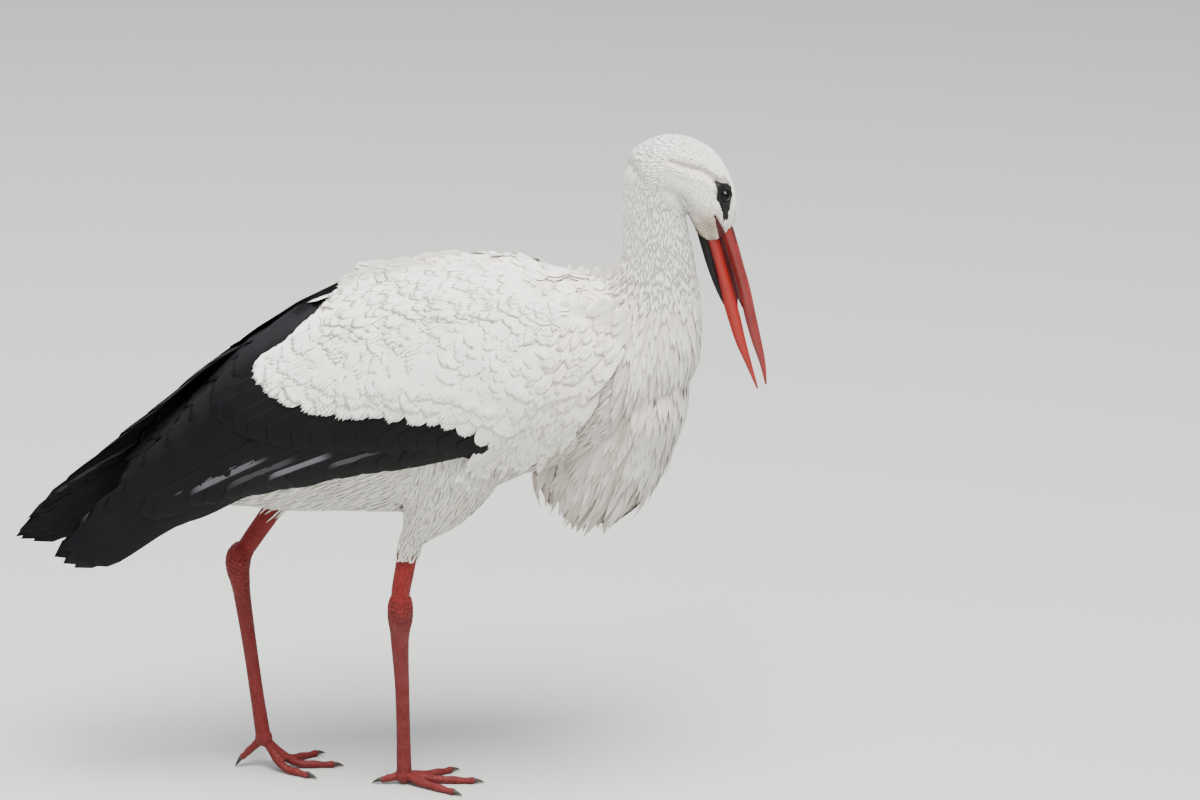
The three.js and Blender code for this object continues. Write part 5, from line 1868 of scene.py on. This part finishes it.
def breastSideFeathers(side):
    places, ends, widths, lifts = [], [], [], []
    for ahead, long in breastSide["rows"]:
        spot = spotsAlong(wingFront, 2.0, breastSide["gap"], breastSide["wander"])
        count = len(spot)
        low = ease(520, 430, spot[:, 1])
        slope = np.radians(spread(low, 48, 64)) + random.normal(0, 0.15, count)
        heading = np.stack([-np.cos(slope), -np.sin(slope)], -1)
        root = spot + np.array([0.9, -0.08]) * ahead + random.uniform(-5.5, 5.5, spot.shape)
        places.append(root)
        ends.append(root + heading * (long * vary(count, 0.32))[:, None])
        widths.append(spread(low, breastSide["upperHalf"], breastSide["lowerHalf"]) * vary(count, 0.2))
        lifts.append(np.stack([np.full(count, -3.6), random.uniform(-0.5, 0.1, count)], -1))
    start, tips, half, lift = (np.concatenate(part) for part in (places, ends, widths, lifts))
    tint = 0.1 + 0.16 * ease(150, 205, start[:, 0]) + random.uniform(-0.05, 0.12, len(start))
    body = wingVanes(side, start, tips, half, lift, "leaf", tint, stations=8, across=5, sag=1.0, shingle=0.05,
                     camber=0.3, thick=0.2, part=0.5, ragged=0.05)
    return [body] + wingBarbs(side, start, tips, half, lift, tint)


def coverts(side):
    grid = wingGrid(side, 0.0, (0.0, 1.0), 120, 60)
    roots = scatter(grid[:84], covertPlan["rowGap"], covertPlan["acrossGap"], wander=0.8, wrap=False)
    x, z = roots["place"][:, 0], roots["place"][:, 2]
    heading = covertHeading(x, z, side)
    turn = random.normal(0, 0.13, len(x))
    heading = np.stack([heading[:, 0] * np.cos(turn) - heading[:, 1] * np.sin(turn),
                        heading[:, 0] * np.sin(turn) + heading[:, 1] * np.cos(turn)], -1)
    big = ease(140, 20, x) * 0.6 + 0.4
    length = covertPlan["length"] * (0.5 + 0.6 * big) * vary(len(x), 0.22)
    tips = np.stack([x, z], -1) + heading * length[:, None]
    keep = insideCoverts(tips[:, 0], tips[:, 1], side, 4)
    start, tips, length, big = np.stack([x, z], -1)[keep], tips[keep], length[keep], big[keep]
    count = len(start)
    half = covertPlan["half"] * (0.45 + 0.6 * big) * vary(count, 0.25)
    warm = np.exp(-((start[:, 0] + 10) / 50) ** 2) * np.exp(-((start[:, 1] - 505) / 26) ** 2)
    tint = random.uniform(0.0, 0.08, count) + 0.25 * warm
    lift = np.stack([random.uniform(-1.7, -1.6, count), random.uniform(-0.45, -0.25, count)], -1)
    bunches = [wingVanes(side, start, tips, half, lift, "round", tint, stations=9, across=5, sag=0.8,
                         shingle=0.05, camber=0.25, thick=0.15, part=0.5, ragged=0.035, rough=1.5)]
    bunches += wingBarbs(side, start, tips, half, lift, tint)
    # the last rows end along the border in even scallops
    border = np.array(covertBorder[1:-1], float) + [covertPlan["farShift"][side], 0]
    for row, (inward, rise, gap) in enumerate(covertPlan["edgeRows"]):
        spot = spotsAlong(border, 3 + row * 8, gap, 3.2)
        heading = covertHeading(spot[:, 0], spot[:, 1], side)
        upper = ease(445, 500, spot[:, 1])[:, None]
        heading = unit(heading * (1 - upper) + np.array([-0.8, -0.6]) * upper)
        tips = spot - heading * inward + random.uniform(-2, 2, spot.shape)
        front = ease(0, 110, spot[:, 0])
        start = tips - heading * covertPlan["edgeLength"] * (1 - 0.45 * front)[:, None]
        count = len(start)
        lift = np.stack([np.full(count, rise - 0.8), rise + 0.5 + random.uniform(-0.2, 0.2, count)], -1)
        half = covertPlan["edgeHalf"] * (1 - 0.35 * front) * vary(count, 0.15)
        tint = random.uniform(0, 0.06, count)
        bunches.append(wingVanes(side, start, tips, half, lift, "round", tint, stations=12, across=5, sag=1.0,
                                 shingle=0.2, camber=0.45, thick=0.2, part=0.5, ragged=0.02))
        bunches += wingBarbs(side, start, tips, half, lift, tint, 7)
    bunches += breastSideFeathers(side)
    return bunches


featherPiece("backCoat", [backFeathers()] + mantleFeathers(), "white")
for sideName, wingSide in (("Right", -1), ("Left", 1)):
    featherPiece("flightFeathers" + sideName, flightFeathers(wingSide), "black",
                 ["flight_feathers_" + sideName.lower()])
    featherPiece("wingCoverts" + sideName, coverts(wingSide), "white",
                 ["wing_coverts_" + sideName.lower()])


tailRows = [[-120, 0, 400, 14, 30], [-160, 0, 378, 11, 33], [-205, 0, 350, 8, 33], [-250, 0, 318, 5.5, 31],
            [-284, 0, 293, 3, 29], [-290, 0, 288, 1.2, 26]]
tailPlan = {"feathers": 12, "half": 11.0, "spread": 19.0}


def tailFeathers():
    spine = smoothRows(tailRows, 16)[:, :3]
    count = tailPlan["feathers"]
    place = np.linspace(-1, 1, count)
    t = np.linspace(0, 1, len(spine))
    widen = (0.55 + 0.45 * t)[None, :, None] * place[:, None, None] * tailPlan["spread"]
    line = spine[None] + widen * np.array([0, 1.0, 0])
    level = -np.abs(place) * 2.5 + 1.5
    up = unit(np.array([-0.55, 0, 0.83]))
    normals = np.broadcast_to(up, line.shape)
    half = tailPlan["half"] * outlines["blade"](t)[None] * np.ones((count, 1))
    unwrap = np.stack([0.1 + 0.4 * (place + 1), np.full(count, 0.1)], -1)
    return [vanes(toMetres(line), normals, half, level[:, None], unwrap, 0.03, across=7, thick=0.6,
                  camber=0.1, shaft=0.5, roll=-place * 0.03)]


featherPiece("tailFeathers", tailFeathers(), "white", ["tail"])
